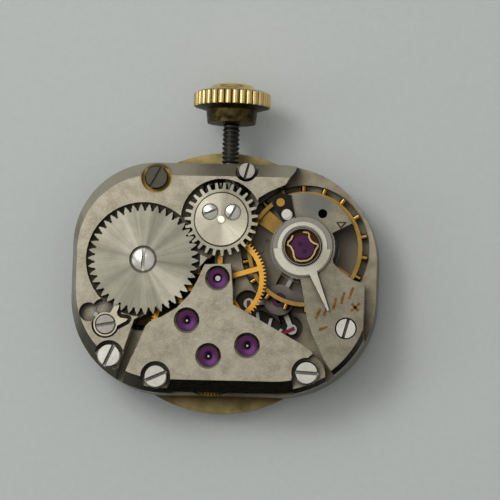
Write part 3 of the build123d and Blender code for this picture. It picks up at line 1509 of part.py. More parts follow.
with BuildPart() as hairspring_stud:
    disc(stud_place, stud_radius, hairspring_bottom, carrier_top + stud_plate / 2)
    bar(
        stud_place, polar(balance, hairspring_radius + hairspring_strip * 1.2, stud_angle), stud_radius,
        hairspring_bottom, hairspring_bottom + hairspring_height,
    )
hairspring_stud.part.label = "hairspring_stud"
export_step(hairspring_stud.part, "parts/hairspring_stud.step")

regulator_bottom = carrier_top + fit_gap
regulator_top = regulator_bottom + regulator_thickness
with BuildPart() as regulator:
    ring(balance, regulator_ring, regulator_inner, regulator_bottom, regulator_top)
    with BuildSketch(Plane.XY.offset(regulator_bottom)) as half:
        with BuildLine():
            CenterArc(balance, regulator_wide, 185, 170)
            Line(polar(balance, regulator_wide, 355), polar(balance, regulator_wide, 185))
        make_face()
    extrude(half.sketch, amount=regulator_thickness)
    pointer_foot = polar(balance, regulator_ring, regulator_angle)
    pointer_end = polar(balance, pointer_reach, regulator_angle)
    slab(
        [
            polar(pointer_foot, pointer_base / 2, regulator_angle + 90),
            polar(pointer_end, pointer_tip / 2, regulator_angle + 90),
            polar(pointer_end, pointer_tip / 2, regulator_angle - 90),
            polar(pointer_foot, pointer_base / 2, regulator_angle - 90),
        ],
        regulator_bottom, regulator_top,
    )
    disc(balance, regulator_inner, regulator_bottom, regulator_top, Mode.SUBTRACT)
regulator.part.label = "regulator"
export_step(regulator.part, "parts/regulator.step")

# Stem with its thread, square and pilot, and the fluted crown
thread_start = plate_shift_y + plate_width / 2 + 2 * edge_break
thread_turns = int((crown_inner_end + crown_grip_at - thread_start) / thread_pitch)
thread_profile = []
for turn in range(thread_turns):
    at = thread_start + turn * thread_pitch
    thread_profile += [(at, thread_core), (at + thread_pitch / 2, thread_radius)]
thread_end = thread_start + thread_turns * thread_pitch
groove_end = stem_groove_at + stem_groove_width
with BuildPart() as stem:
    turned(
        stem_profile_plane,
        [
            (stem_inner_end, stem_pilot - running_gap),
            (sliding_pinion_inner - setting_travel, stem_pilot - running_gap),
            (sliding_pinion_inner - setting_travel, stem_square - running_gap),
            (winding_pinion_inner, stem_square - running_gap),
            (winding_pinion_inner, stem_bearing - running_gap),
            (stem_groove_at, stem_bearing - running_gap),
            (stem_groove_at, stem_pilot), (groove_end, stem_pilot), (groove_end, thread_core),
            *thread_profile,
            (thread_end, thread_core),
        ],
    )
stem.part.label = "stem"
export_step(stem.part, "parts/stem.step")

crown_grip_start = crown_inner_end + crown_neck + crown_skirt
crown_grip_end = crown_grip_start + crown_grip
crown_end = crown_inner_end + crown_length
crown_rim = crown_radius - crown_lobe_radius
with BuildPart() as crown:
    turned(
        stem_profile_plane,
        [
            (crown_inner_end, crown_neck_radius),
            (crown_grip_start - crown_skirt, crown_neck_radius + edge_break * 2),
            (crown_grip_start, crown_radius + edge_break),
            (crown_grip_end, crown_radius + edge_break),
            (crown_grip_end + crown_shoulder, crown_rim - edge_break),
            (crown_end - crown_cap, crown_cap_radius + edge_break),
            (crown_end - crown_cap / 2, crown_cap_radius - edge_break),
            (crown_end - edge_break, crown_cap_radius * 0.7),
            (crown_end, crown_cap_radius * 0.3),
        ],
    )
    # The grip's rounded lobes: what lies between them is cut away, and the slopes round off their ends
    with BuildSketch(stem_bore_plane.offset(crown_grip_start - crown_skirt)) as gaps:
        Circle(crown_radius + cut_over)
        Circle(crown_rim, mode=Mode.SUBTRACT)
        with PolarLocations(crown_rim, crown_lobes):
            Circle(crown_lobe_radius, mode=Mode.SUBTRACT)
    extrude(gaps.sketch, amount=crown_skirt + crown_grip + crown_shoulder, mode=Mode.SUBTRACT)
    with BuildSketch(stem_bore_plane.offset(crown_inner_end - cut_over)) as bore:
        Circle(thread_radius + fit_gap)
    extrude(bore.sketch, amount=thread_end + fit_gap - crown_inner_end + cut_over, mode=Mode.SUBTRACT)
crown.part.label = "crown"
export_step(crown.part, "parts/crown.step")

# Winding pinion, which drives the crown wheel, and the sliding pinion beside it: at the top, a tooth of the
# crown wheel stands in a gap of the pinion
over_stem = math.degrees(math.acos((stem_x - crown_wheel_axis[0]) / crown_wheel_pitch))
teeth_round = (over_stem - crown_wheel_phase) / (360 / crown_wheel_teeth)
winding_pinion_phase = -90 + (teeth_round - round(teeth_round) + 0.5) * 360 / winding_pinion_teeth
with BuildPart() as winding_pinion:
    turned(
        stem_profile_plane,
        [(winding_pinion_inner, winding_pinion_body), (winding_pinion_outer, winding_pinion_body)],
    )
    with BuildSketch(stem_bore_plane.offset(crown_wheel_axis[1] + crown_wheel_root - running_gap)) as face:
        with BuildLine():
            Polyline(
                *tooth_points(
                    winding_pinion_teeth, winding_pinion_root, winding_pinion_radius,
                    winding_pinion_phase, 0.22, 0.12
                ),
                close=True,
            )
        make_face()
    extrude(face.sketch, amount=crown_wheel_tip - crown_wheel_root + running_gap)
    stem_tunnel(stem_bearing, winding_pinion_inner - cut_over, winding_pinion_outer + cut_over)
winding_pinion.part.label = "winding_pinion"
export_step(winding_pinion.part, "parts/winding_pinion.step")

groove_at = (sliding_pinion_inner + sliding_pinion_outer - sliding_groove_width) / 2
with BuildPart() as sliding_pinion:
    turned(
        stem_profile_plane,
        [
            (sliding_pinion_inner, sliding_pinion_radius), (groove_at, sliding_pinion_radius),
            (groove_at, sliding_groove_radius),
            (groove_at + sliding_groove_width, sliding_groove_radius),
            (groove_at + sliding_groove_width, sliding_pinion_radius),
            (sliding_pinion_outer, sliding_pinion_radius),
        ],
    )
    for end, side in ((sliding_pinion_inner, 1), (sliding_pinion_outer, -1)):
        with BuildSketch(stem_bore_plane.offset(end)) as notches:
            with PolarLocations(sliding_pinion_radius, clutch_teeth):
                Rectangle(2 * clutch_depth, clutch_depth)
        extrude(notches.sketch, amount=side * clutch_depth, mode=Mode.SUBTRACT)
    stem_tunnel(stem_square, sliding_pinion_inner - cut_over, sliding_pinion_outer + cut_over)
sliding_pinion.part.label = "sliding_pinion"
export_step(sliding_pinion.part, "parts/sliding_pinion.step")

# Setting lever and yoke, flat steel levers on the dial side
lever_plate_top = lever_plate_level + lever_plate_thickness
groove_middle = (stem_x, stem_groove_at + stem_groove_width / 2)
with BuildPart() as setting_lever:
    disc(setting_screw_place, setting_lever_boss, lever_plate_level, lever_plate_top)
    bar(setting_screw_place, groove_middle, setting_lever_width, lever_plate_level, lever_plate_top)
    disc(groove_middle, setting_lever_width / 2, lever_plate_level, lever_plate_top)
    disc(
        groove_middle, stem_groove_width / 2 - running_gap, lever_plate_level,
        stem_height - stem_pilot - running_gap,
    )
    tail = polar(setting_screw_place, setting_lever_boss * 4, -100)
    bar(setting_screw_place, tail, setting_lever_width, lever_plate_level, lever_plate_top)
setting_lever.part.label = "setting_lever"
export_step(setting_lever.part, "parts/setting_lever.step")

yoke_end = (stem_x, groove_at + sliding_groove_width / 2)
with BuildPart() as yoke:
    disc(yoke_pivot_place, arbor_radius * 2.2, lever_plate_level, lever_plate_top)
    bar(yoke_pivot_place, yoke_end, arbor_radius * 2, lever_plate_level, lever_plate_top)
    disc(
        yoke_end, sliding_groove_width / 2 - running_gap, lever_plate_level,
        stem_height - sliding_groove_radius - running_gap,
    )
    disc(yoke_pivot_place, arbor_radius + running_gap, lever_plate_level, lever_plate_top, Mode.SUBTRACT)
yoke.part.label = "yoke"
export_step(yoke.part, "parts/yoke.step")

with BuildPart() as setting_lever_spring:
    slab(on_plate(cover_shares), cover_level, cover_level + cover_thickness, Mode.ADD, plate_corner / 40)
    for place in cover_screw_places:
        disc(
            place, small_shank_radius + jewel_gap, cover_level, cover_level + cover_thickness, Mode.SUBTRACT
        )
        disc(
            place, dial_side_screw_radius + jewel_gap, -cut_over, cover_level + cover_thickness / 2,
            Mode.SUBTRACT,
        )
setting_lever_spring.part.label = "setting_lever_spring"
export_step(setting_lever_spring.part, "parts/setting_lever_spring.step")

with BuildPart() as cover_screws:
    for place in cover_screw_places:
        disc(place, dial_side_screw_radius, cover_level, cover_level + cover_thickness / 2 - fit_gap)
        disc(place, small_shank_radius, cover_level, plate_thickness / 2)
        bar(
            polar(place, dial_side_screw_radius, 30), polar(place, -dial_side_screw_radius, 30),
            slot_share * dial_side_screw_radius, -cut_over, cover_level + cover_thickness / 4,
            Mode.SUBTRACT,
        )
cover_screws.part.label = "cover_screws"
export_step(cover_screws.part, "parts/cover_screws.step")

# Motion work on the dial side. Each hand's seat is a short straight stretch below a slight cone
with BuildPart() as cannon_pinion:
    spindle(
        centre,
        [
            (cannon_bore, -cannon_tip), (cannon_seat_radius, -cannon_tip),
            (cannon_seat_radius, hand_seat - cannon_tip), (cannon_radius - fit_gap, hand_seat - cannon_tip),
            (cannon_radius, minute_level - fit_gap), (cannon_bore, minute_level - fit_gap),
        ],
    )
    pinion(centre, cannon_leaves, motion_module, minute_level - fit_gap, keyless_recess - running_gap, 0)
    disc(centre, cannon_bore, -cannon_tip - cut_over, keyless_recess, Mode.SUBTRACT)
cannon_pinion.part.label = "cannon_pinion"
export_step(cannon_pinion.part, "parts/cannon_pinion.step")

with BuildPart() as hour_wheel:
    with BuildSketch(Plane.XY.offset(hour_level)) as blank:
        pitch_module = motion_module * (cannon_leaves + minute_teeth) / (minute_pinion_leaves + hour_teeth)
        pitch = pitch_module * hour_teeth / 2
        toothed_face(
            centre, tooth_points(hour_teeth, pitch - pitch_module * 1.2, pitch + pitch_module, hour_phase)
        )
    extrude(blank.sketch, amount=hour_thickness)
    pipe_bore = cannon_radius + running_gap
    spindle(
        centre,
        [
            (pipe_bore, -hour_pipe_tip), (hour_pipe_radius, -hour_pipe_tip),
            (hour_pipe_radius, hand_seat - hour_pipe_tip),
            (hour_pipe_radius + fit_gap, hand_seat - hour_pipe_tip),
            (hour_pipe_radius + running_gap, hour_level), (pipe_bore, hour_level),
        ],
    )
    disc(centre, pipe_bore, -hour_pipe_tip, hour_level + hour_thickness, Mode.SUBTRACT)
hour_wheel.part.label = "hour_wheel"
export_step(hour_wheel.part, "parts/hour_wheel.step")

with BuildPart() as minute_wheel:
    with BuildSketch(Plane.XY.offset(minute_level)) as blank:
        pitch = motion_module * minute_teeth / 2
        toothed_face(
            minute_axis,
            tooth_points(minute_teeth, pitch - motion_module * 1.2, pitch + motion_module, minute_phase),
        )
    extrude(blank.sketch, amount=minute_thickness)
    pinion(minute_axis, minute_pinion_leaves, pitch_module, hour_level, minute_level, 0)
    disc(minute_axis, arbor_radius + running_gap, -cut_over, keyless_recess, Mode.SUBTRACT)
minute_wheel.part.label = "minute_wheel"
export_step(minute_wheel.part, "parts/minute_wheel.step")

with BuildPart() as setting_wheel:
    with BuildSketch(Plane.XY.offset(lever_plate_level)) as blank:
        pitch = motion_module * setting_teeth / 2
        toothed_face(
            setting_axis,
            tooth_points(setting_teeth, pitch - motion_module * 1.2, pitch + motion_module, setting_phase),
        )
        with Locations(setting_axis):
            Circle(arbor_radius + running_gap, mode=Mode.SUBTRACT)
    extrude(blank.sketch, amount=setting_wheel_height)
setting_wheel.part.label = "setting_wheel"
export_step(setting_wheel.part, "parts/setting_wheel.step")
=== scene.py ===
"""Hand-wound lever movement of a small watch: its finishes, fine hairspring, marks, light and camera."""
import math

import bmesh
import bpy
from mathutils import Matrix, Vector


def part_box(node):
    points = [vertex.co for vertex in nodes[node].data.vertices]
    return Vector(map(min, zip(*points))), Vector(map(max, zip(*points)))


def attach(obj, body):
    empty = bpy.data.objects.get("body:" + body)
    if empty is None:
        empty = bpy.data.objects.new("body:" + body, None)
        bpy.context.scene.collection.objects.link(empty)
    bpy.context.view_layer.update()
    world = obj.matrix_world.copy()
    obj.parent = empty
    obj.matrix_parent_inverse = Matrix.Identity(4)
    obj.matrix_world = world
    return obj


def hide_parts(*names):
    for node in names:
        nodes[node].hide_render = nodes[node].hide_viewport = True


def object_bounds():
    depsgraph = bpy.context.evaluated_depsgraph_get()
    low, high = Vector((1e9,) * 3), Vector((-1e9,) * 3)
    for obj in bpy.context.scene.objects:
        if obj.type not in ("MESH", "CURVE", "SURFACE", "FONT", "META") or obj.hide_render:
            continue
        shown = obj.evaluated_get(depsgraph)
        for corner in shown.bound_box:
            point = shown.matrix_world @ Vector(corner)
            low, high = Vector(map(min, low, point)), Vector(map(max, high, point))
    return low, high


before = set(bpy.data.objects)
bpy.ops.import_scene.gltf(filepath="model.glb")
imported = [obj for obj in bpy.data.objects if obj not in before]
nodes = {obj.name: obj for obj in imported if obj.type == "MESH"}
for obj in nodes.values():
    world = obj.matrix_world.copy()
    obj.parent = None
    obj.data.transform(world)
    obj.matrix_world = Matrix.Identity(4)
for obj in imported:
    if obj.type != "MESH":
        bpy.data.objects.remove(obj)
cad_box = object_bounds()

MM = 0.001

# Photograph: how wide its frame is and where its middle falls at the height of the bridges' top, how far it is
# turned, and how far the view leans to the right and down for each unit of height
frame_width = 25.0 * MM
frame_middle = Vector((1.60, 1.43, 2.70)) * MM
photo_turn = math.radians(1.2)
lean_right = 0.11
lean_down = 0.11
camera_distance = 320 * MM
sensor_width = 36.0


def linear(code):
    """An sRGB hex colour as the linear red, green, blue and alpha that the sockets take."""
    channels = [int(code[start:start + 2], 16) / 255 for start in (1, 3, 5)]
    return [c / 12.92 if c <= 0.04045 else ((c + 0.055) / 1.055) ** 2.4 for c in channels] + [1.0]


def add_node(tree, kind, settings=None, links=None):
    """One node: settings give its own attributes and socket values, links the source of each socket."""
    node = tree.nodes.new(kind)
    for name, value in (settings or {}).items():
        if isinstance(name, str) and hasattr(node, name):
            setattr(node, name, value)
        else:
            node.inputs[name].default_value = value
    for name, source in (links or {}).items():
        tree.links.new(source, node.inputs[name])
    return node


def start_material(name, settings):
    """A node material with its shader wired to its surface, and the object's own coordinates in metres."""
    material = bpy.data.materials.new(name)
    material.use_nodes = True
    tree = material.node_tree
    tree.nodes.clear()
    shader = add_node(tree, "ShaderNodeBsdfPrincipled", settings)
    add_node(tree, "ShaderNodeOutputMaterial", links={"Surface": shader.outputs["BSDF"]})
    place = add_node(tree, "ShaderNodeTexCoord")
    return material, tree, shader, place.outputs["Object"]


def middle_of(node):
    """The middle of a node's box, in metres."""
    low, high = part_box(node)
    return (low + high) / 2


# Worked metals

# Painted shade for corners and recesses, nearly black
corner_shade_colour = "#15120D"
# How much the tool's strokes count in a metal's tone beside its clouds of tarnish
stroke_share = 0.45
# How much the rays and the clouds count in the tone of sunburst grinding beside its sectors of painted sheen,
# and how far its roughness wanders
ray_share = 0.30
cloud_share = 0.45
ray_spread = 0.06


def paint_corner_shade(tree, unshaded, shade_colour, reach, hold):
    """Painted shade in corners: the colour turns darker where walls stand closer than reach.

    reach is in millimetres, and hold is how dark the deepest corner gets, from 0 to 1.
    """
    # Ambient occlusion darkens the colour in corners: painted shade
    shelter = add_node(
        tree, "ShaderNodeAmbientOcclusion", {"samples": 6, "Distance": reach * MM},
    )
    open_share = add_node(
        tree, "ShaderNodeMapRange",
        {"From Min": 0.38, "From Max": 0.92, "To Min": hold, "To Max": 0.0},
        {"Value": shelter.outputs["AO"]},
    )
    shaded_colour = add_node(
        tree, "ShaderNodeMix", {"data_type": "RGBA", 7: linear(shade_colour)},
        {0: open_share.outputs["Result"], 6: unshaded},
    )
    return shaded_colour.outputs[2]


def spot_share(tree, place, centre, full, none):
    """How near a point lies to an upright axis: 1 within full of it and 0 beyond none, in millimetres."""
    off = add_node(
        tree, "ShaderNodeVectorMath",
        {"operation": "SUBTRACT", 1: (centre[0] * MM, centre[1] * MM, 0.0)}, {0: place},
    )
    level = add_node(
        tree, "ShaderNodeVectorMath", {"operation": "MULTIPLY", 1: (1.0, 1.0, 0.0)},
        {0: off.outputs["Vector"]},
    )
    away = add_node(tree, "ShaderNodeVectorMath", {"operation": "LENGTH"}, {0: level.outputs["Vector"]})
    near = add_node(
        tree, "ShaderNodeMapRange",
        {
            "interpolation_type": "SMOOTHSTEP", "From Min": full * MM, "From Max": none * MM,
            "To Min": 1.0, "To Max": 0.0,
        },
        {"Value": away.outputs["Value"]},
    )
    return near.outputs["Result"]


def tint(tree, shader, share, colour):
    """Lay a colour over the shader's own by a share of 0 to 1."""
    under = shader.inputs["Base Color"].links[0].from_socket
    mixed = add_node(
        tree, "ShaderNodeMix", {"data_type": "RGBA", 7: linear(colour)}, {0: share, 6: under},
    )
    tree.links.new(mixed.outputs[2], shader.inputs["Base Color"])


def tint_patches(tree, shader, place, patches):
    """Tint round patches of the surface.

    Each patch has its middle, the radius that it fills, the radius where it has faded out, all three in
    millimetres, and its colour.
    """
    for middle, full, none, colour in patches:
        tint(tree, shader, spot_share(tree, place, middle, full, none), colour)


def polish_bevels(tree, shader, gloss):
    """Slopes cut with a polished tool: smooth where the surface leans, as made where it lies flat.

    The slopes that lean to the far side were dulled by wear, so they mirror nothing clearly, and are painted
    pale as a painted reflection of light; those of the near side are painted nearly black, a painted dark
    reflection.
    """
    lie = add_node(tree, "ShaderNodeNewGeometry")
    up = add_node(tree, "ShaderNodeSeparateXYZ", links={"Vector": lie.outputs["True Normal"]})
    flat = add_node(
        tree, "ShaderNodeMapRange", {"From Min": 0.90, "From Max": 0.97}, {"Value": up.outputs["Z"]},
    )
    slope = add_node(
        tree, "ShaderNodeMapRange",
        {"From Min": 0.02, "From Max": 0.25, "To Min": 0.08, "To Max": 0.46}, {"Value": up.outputs["Y"]},
    )
    mixed = add_node(
        tree, "ShaderNodeMix", {"data_type": "FLOAT"},
        {0: flat.outputs["Result"], 2: slope.outputs["Result"], 3: gloss},
    )
    tree.links.new(mixed.outputs[0], shader.inputs["Roughness"])
    # Painted dark reflection: slopes that lean to the near side are painted nearly black
    near_side = add_node(
        tree, "ShaderNodeMapRange",
        {"From Min": -0.40, "From Max": -0.15, "To Min": 0.70, "To Max": 0.0}, {"Value": up.outputs["Y"]},
    )
    tint(tree, shader, near_side.outputs["Result"], "#22201C")
    # Painted light: slopes that lean to the far side are painted pale
    far_side = add_node(
        tree, "ShaderNodeMapRange",
        {"From Min": 0.15, "From Max": 0.40, "To Min": 0.0, "To Max": 0.55}, {"Value": up.outputs["Y"]},
    )
    tint(tree, shader, far_side.outputs["Result"], "#D6CFBD")


def worked_metal(
    name, light, dark, roughness, stroke, lay=0.0, depth=0.0006, stain_size=2.5, stain=1.0, spread=0.10,
    corner_shade=0.85, reach=0.5, bevels=False, patches=(),
):
    """A metal with the strokes of a tool, faint clouds of tarnish and painted shade in its corners.

    stroke is the width and length of one stroke in millimetres, lay the direction that the strokes run in,
    in degrees from +X, and depth how deep they cut in millimetres. stain_size is the size of a cloud in
    millimetres, stain how strong the clouds are, and spread how far the roughness wanders. corner_shade is how
    dark the painted shade in a corner gets, and reach how far it spreads from it, in millimetres. bevels
    polishes the slopes and paints light and shade on them, and patches are those of tint_patches.
    """
    material, tree, shader, place = start_material(name, {"Metallic": 1.0})
    clouds = add_node(
        tree, "ShaderNodeTexNoise",
        {"Scale": 1 / (stain_size * MM), "Detail": 4.0, "Roughness": 0.62}, {"Vector": place},
    )
    tarnish = add_node(
        tree, "ShaderNodeMapRange", {"From Min": 0.36, "From Max": 0.66, "To Max": stain},
        {"Value": clouds.outputs["Fac"]},
    )
    laid = add_node(
        tree, "ShaderNodeMapping", {"vector_type": "TEXTURE", "Rotation": (0, 0, math.radians(lay))},
        {"Vector": place},
    )
    width, length = stroke[0] * MM, stroke[1] * MM
    drawn = add_node(
        tree, "ShaderNodeVectorMath", {"operation": "MULTIPLY", 1: (1 / length, 1 / width, 1 / width)},
        {0: laid.outputs["Vector"]},
    )
    strokes = add_node(
        tree, "ShaderNodeTexNoise", {"Scale": 1.0, "Detail": 3.0, "Roughness": 0.6},
        {"Vector": drawn.outputs["Vector"]},
    )
    tone = add_node(
        tree, "ShaderNodeMath", {"operation": "MULTIPLY_ADD", 1: stroke_share},
        {0: strokes.outputs["Fac"], 2: tarnish.outputs["Result"]},
    )
    share = add_node(
        tree, "ShaderNodeMapRange", {"From Min": 0.0, "From Max": stain + stroke_share},
        {"Value": tone.outputs["Value"]},
    )
    colour = add_node(
        tree, "ShaderNodeMix", {"data_type": "RGBA", 6: linear(light), 7: linear(dark)},
        {0: share.outputs["Result"]},
    )
    # Painted shade: the colour darkens in the metal's corners
    shaded_colour = paint_corner_shade(tree, colour.outputs[2], corner_shade_colour, reach, corner_shade)
    tree.links.new(shaded_colour, shader.inputs["Base Color"])
    gloss = add_node(
        tree, "ShaderNodeMapRange",
        {
            "From Min": 0.25, "From Max": 0.8,
            "To Min": roughness - spread / 2, "To Max": roughness + spread / 2,
        },
        {"Value": strokes.outputs["Fac"]},
    )
    tree.links.new(gloss.outputs["Result"], shader.inputs["Roughness"])
    relief = add_node(
        tree, "ShaderNodeBump", {"Strength": 1.0, "Distance": depth * MM},
        {"Height": strokes.outputs["Fac"]},
    )
    tree.links.new(relief.outputs["Normal"], shader.inputs["Normal"])
    if bevels:
        polish_bevels(tree, shader, gloss.outputs["Result"])
    tint_patches(tree, shader, place, patches)
    return material


def sunburst_steel(name, node, light, dark, roughness, rays, patches=()):
    """Polished steel ground in rays from its middle, with bright and dim sectors painted into its colour as
    painted sheen.

    The real rays are a few hundredths of a millimetre wide, drawn here about twice as coarse to show. A
    sector takes in about 22 of them.
    """
    material, tree, shader, place = start_material(
        name, {"Metallic": 1.0, "Anisotropic": 0.55, "Anisotropic Rotation": 0.25},
    )
    hub = add_node(
        tree, "ShaderNodeVectorMath", {"operation": "SUBTRACT", 1: middle_of(node)}, {0: place},
    )
    turn = add_node(
        tree, "ShaderNodeTexGradient", {"gradient_type": "RADIAL"}, {"Vector": hub.outputs["Vector"]},
    )
    ray = add_node(
        tree, "ShaderNodeMath", {"operation": "MULTIPLY", 1: float(rays)}, {0: turn.outputs["Fac"]},
    )
    strokes = add_node(
        tree, "ShaderNodeTexNoise", {"noise_dimensions": "1D", "Scale": 1.0, "Detail": 2.0},
        {"W": ray.outputs["Value"]},
    )
    clouds = add_node(
        tree, "ShaderNodeTexNoise", {"Scale": 1 / (1.1 * MM), "Detail": 5.0, "Roughness": 0.65},
        {"Vector": place},
    )
    # Painted sheen: broad sectors of the rays are painted brighter and dimmer
    sheen_sectors = add_node(
        tree, "ShaderNodeTexNoise", {"noise_dimensions": "1D", "Scale": 0.045, "Detail": 3.0},
        {"W": ray.outputs["Value"]},
    )
    broad = add_node(
        tree, "ShaderNodeMath", {"operation": "MULTIPLY_ADD", 1: ray_share},
        {0: strokes.outputs["Fac"], 2: sheen_sectors.outputs["Fac"]},
    )
    tone = add_node(
        tree, "ShaderNodeMath", {"operation": "MULTIPLY_ADD", 1: cloud_share},
        {0: clouds.outputs["Fac"], 2: broad.outputs["Value"]},
    )
    share = add_node(
        tree, "ShaderNodeMapRange", {"From Min": 0.60, "From Max": 1.15}, {"Value": tone.outputs["Value"]},
    )
    colour = add_node(
        tree, "ShaderNodeMix", {"data_type": "RGBA", 6: linear(dark), 7: linear(light)},
        {0: share.outputs["Result"]},
    )
    # Painted shade: the colour darkens in corners
    shaded_colour = paint_corner_shade(tree, colour.outputs[2], corner_shade_colour, reach=0.35, hold=0.85)
    tree.links.new(shaded_colour, shader.inputs["Base Color"])
    gloss = add_node(
        tree, "ShaderNodeMapRange",
        {
            "From Min": 0.3, "From Max": 0.7,
            "To Min": roughness - ray_spread / 2, "To Max": roughness + ray_spread / 2,
        },
        {"Value": strokes.outputs["Fac"]},
    )
    tree.links.new(gloss.outputs["Result"], shader.inputs["Roughness"])
    relief = add_node(
        tree, "ShaderNodeBump", {"Strength": 1.0, "Distance": 0.0004 * MM},
        {"Height": strokes.outputs["Fac"]},
    )
    tree.links.new(relief.outputs["Normal"], shader.inputs["Normal"])
    grain = add_node(tree, "ShaderNodeTangent", {"direction_type": "RADIAL", "axis": "Z"})
    tree.links.new(grain.outputs["Tangent"], shader.inputs["Tangent"])
    tint_patches(tree, shader, place, patches)
    return material


# Places that differ from the metal about them, in millimetres
worn_screw = (-3.24, 5.00)
cock_far_part = (4.85, 3.95)
cock_hole = (5.19, 3.34)
escapement_place = (2.60, -2.10)
balance_place = (4.246, 1.642)
carrier_pin = (3.41, 3.24)
core_pin = (0.104, 2.943)
cap_shadows = [(4.11, 1.79), (4.35, 1.43)]
train_jewels = [(0.0, 0.0), (-1.487, -2.156), (-0.345, -3.921), (1.589, -3.356)]


def grained_nickel(name, light, dark, patches):
    """Nickel-plated brass, grained matt: a warm soft grey with a fine mottle, painted shade in its corners,
    and bright bevels with painted reflections.

    The real grain is about 0.02 mm wide, drawn here about three times as coarse to show.
    """
    return worked_metal(
        name, light, dark, roughness=0.36, stroke=(0.06, 0.10), lay=8.0, depth=0.0052, stain_size=0.6,
        stain=0.2, corner_shade=0.90, reach=0.6, bevels=True, patches=patches,
    )


# On the bridges brass shows in a ring about the screw hole where the plating wore through
bridge_nickel = grained_nickel(
    "nickel_plated_brass_grained", "#A9A392", "#625C4D", [(worn_screw, 0.70, 0.86, "#7A6436")],
)

# The cock is painted dimmer than the bridges as painted shade, most of all on its far part
cock_nickel_shaded = grained_nickel(
    "nickel_plated_brass_cock_shaded", "#908A7A", "#504B3E", [(cock_far_part, 0.40, 1.40, "#5F605B")],
)

# The plate is of the same plated brass, blasted matt and duller, with painted shade in its recesses
plate_nickel = worked_metal(
    "nickel_plated_brass_blasted", "#968E7C", "#5C5546", roughness=0.42, stroke=(0.05, 0.07),
    depth=0.0016, stain_size=1.6, corner_shade=0.72, reach=0.6,
    # Painted shade: dark patches over the balance's recess, between the train bridge and the cock, and at the
    # cock's hole
    patches=[
        (balance_place, 2.70, 3.00, "#5A544A"),
        (escapement_place, 1.20, 2.30, "#2A2620"),
        (cock_hole, 0.45, 0.60, "#0D0C0A"),
    ],
)

# The pallet bridge's plating has gone mauve-grey and is nearly matt
pallet_bridge_nickel = worked_metal(
    "nickel_plated_brass_tarnished", "#6C6660", "#443F3A", roughness=0.42, stroke=(0.04, 0.3), lay=60.0,
)

# Turned and ground steel of arbors, pinions and springs: a clean grey with fine rings
ground_steel = worked_metal(
    "steel_ground", "#BEBDB9", "#8F8D88", roughness=0.26, stroke=(0.03, 0.6), lay=90.0,
)

# Dark hardened steel, black-polished: mirrors the room, so it looks near black beside lit parts. Its pin and
# the ring about the shock setting are bright
black_polished_steel = worked_metal(
    "steel_black_polished", "#2C2A28", "#171513", roughness=0.16, stroke=(0.05, 1.2), lay=35.0,
    depth=0.0002, spread=0.05,
    patches=[(balance_place, 1.50, 1.58, "#8E8C85"), (carrier_pin, 0.24, 0.28, "#CFCCC4")],
)

# The shock settings are painted dark brown inside as painted shade with a brown painted reflection, and have a
# bright rim
setting_steel = worked_metal(
    "steel_shock_setting", "#C4C1B6", "#9A968A", roughness=0.24, stroke=(0.03, 0.6), lay=90.0,
    patches=[(balance_place, 0.88, 0.95, "#3A281A")],
)

# The stem has gone dull and dark, with painted shade in its thread
stem_steel = worked_metal(
    "steel_stem_darkened", "#7B7A76", "#454441", roughness=0.32, stroke=(0.03, 0.5), lay=90.0,
    corner_shade=0.97, reach=0.25,
)

# Screw heads are flat-polished steel with hair scratches, and the worn one has gone dark; painted shade
# darkens their slots
screw_steel = worked_metal(
    "steel_flat_polished", "#DEDCD5", "#A9A69C", roughness=0.22, stroke=(0.025, 0.9), lay=25.0,
    depth=0.0004, spread=0.08, corner_shade=0.99, reach=0.28, patches=[(worn_screw, 0.80, 0.90, "#4B4840")],
)

# The regulator is smooth bright steel, stroked only faintly
regulator_steel = worked_metal(
    "steel_polished_regulator", "#C6C4B8", "#94917F", roughness=0.26, stroke=(0.04, 1.0), lay=-60.0,
    depth=0.0001, spread=0.04,
)

# Older screws have a dull grey film
dull_steel = worked_metal(
    "steel_dull", "#A5A29A", "#7C7870", roughness=0.33, stroke=(0.03, 0.5), lay=-20.0,
)

# The click is nickelled steel, polished to a creamy white
click_steel = worked_metal(
    "steel_nickelled_polished", "#D3CDBB", "#A9A18D", roughness=0.22, stroke=(0.03, 0.8), lay=15.0,
    depth=0.0003,
)

# Gilt brass of the wheels: warm gold with a light drag of the polishing stick
wheel_gilt = worked_metal(
    "brass_gilt_polished", "#E2AE4F", "#B98032", roughness=0.24, stroke=(0.03, 0.5), lay=45.0,
    depth=0.0005,
)

# The balance rim is gilded copper alloy, a little paler than the wheels
balance_gilt = worked_metal(
    "beryllium_bronze_gilt", "#B08E4C", "#6F5328", roughness=0.22, stroke=(0.025, 0.4), lay=-30.0,
    depth=0.0003,
)

# The shock springs are of a pale gilt alloy
spring_gilt = worked_metal(
    "bronze_gilt_pale", "#DCC49A", "#AD9160", roughness=0.20, stroke=(0.02, 0.3), depth=0.0002,
)

# The rim's screws have browned
browned_bronze = worked_metal(
    "beryllium_bronze_browned", "#A98444", "#6E5022", roughness=0.24, stroke=(0.03, 0.2), depth=0.0003,
)

# Machined brass inside the movement, browned by age, with painted shade spreading far from its corners
aged_brass = worked_metal(
    "brass_aged", "#8F7A45", "#4A3C20", roughness=0.38, stroke=(0.05, 0.3), depth=0.001, stain_size=1.2,
    corner_shade=0.97, reach=1.2,
)

# Motion work in plain turned brass
turned_brass = worked_metal(
    "brass_turned", "#D2A95A", "#A17C3B", roughness=0.28, stroke=(0.03, 0.4), lay=80.0,
)

# Hairspring alloy: a thin grey strip with a faint blue cast
hairspring_alloy = worked_metal(
    "nickel_iron_spring_alloy", "#9A9BA3", "#6D6E78", roughness=0.28, stroke=(0.03, 0.8), depth=0.0002,
)

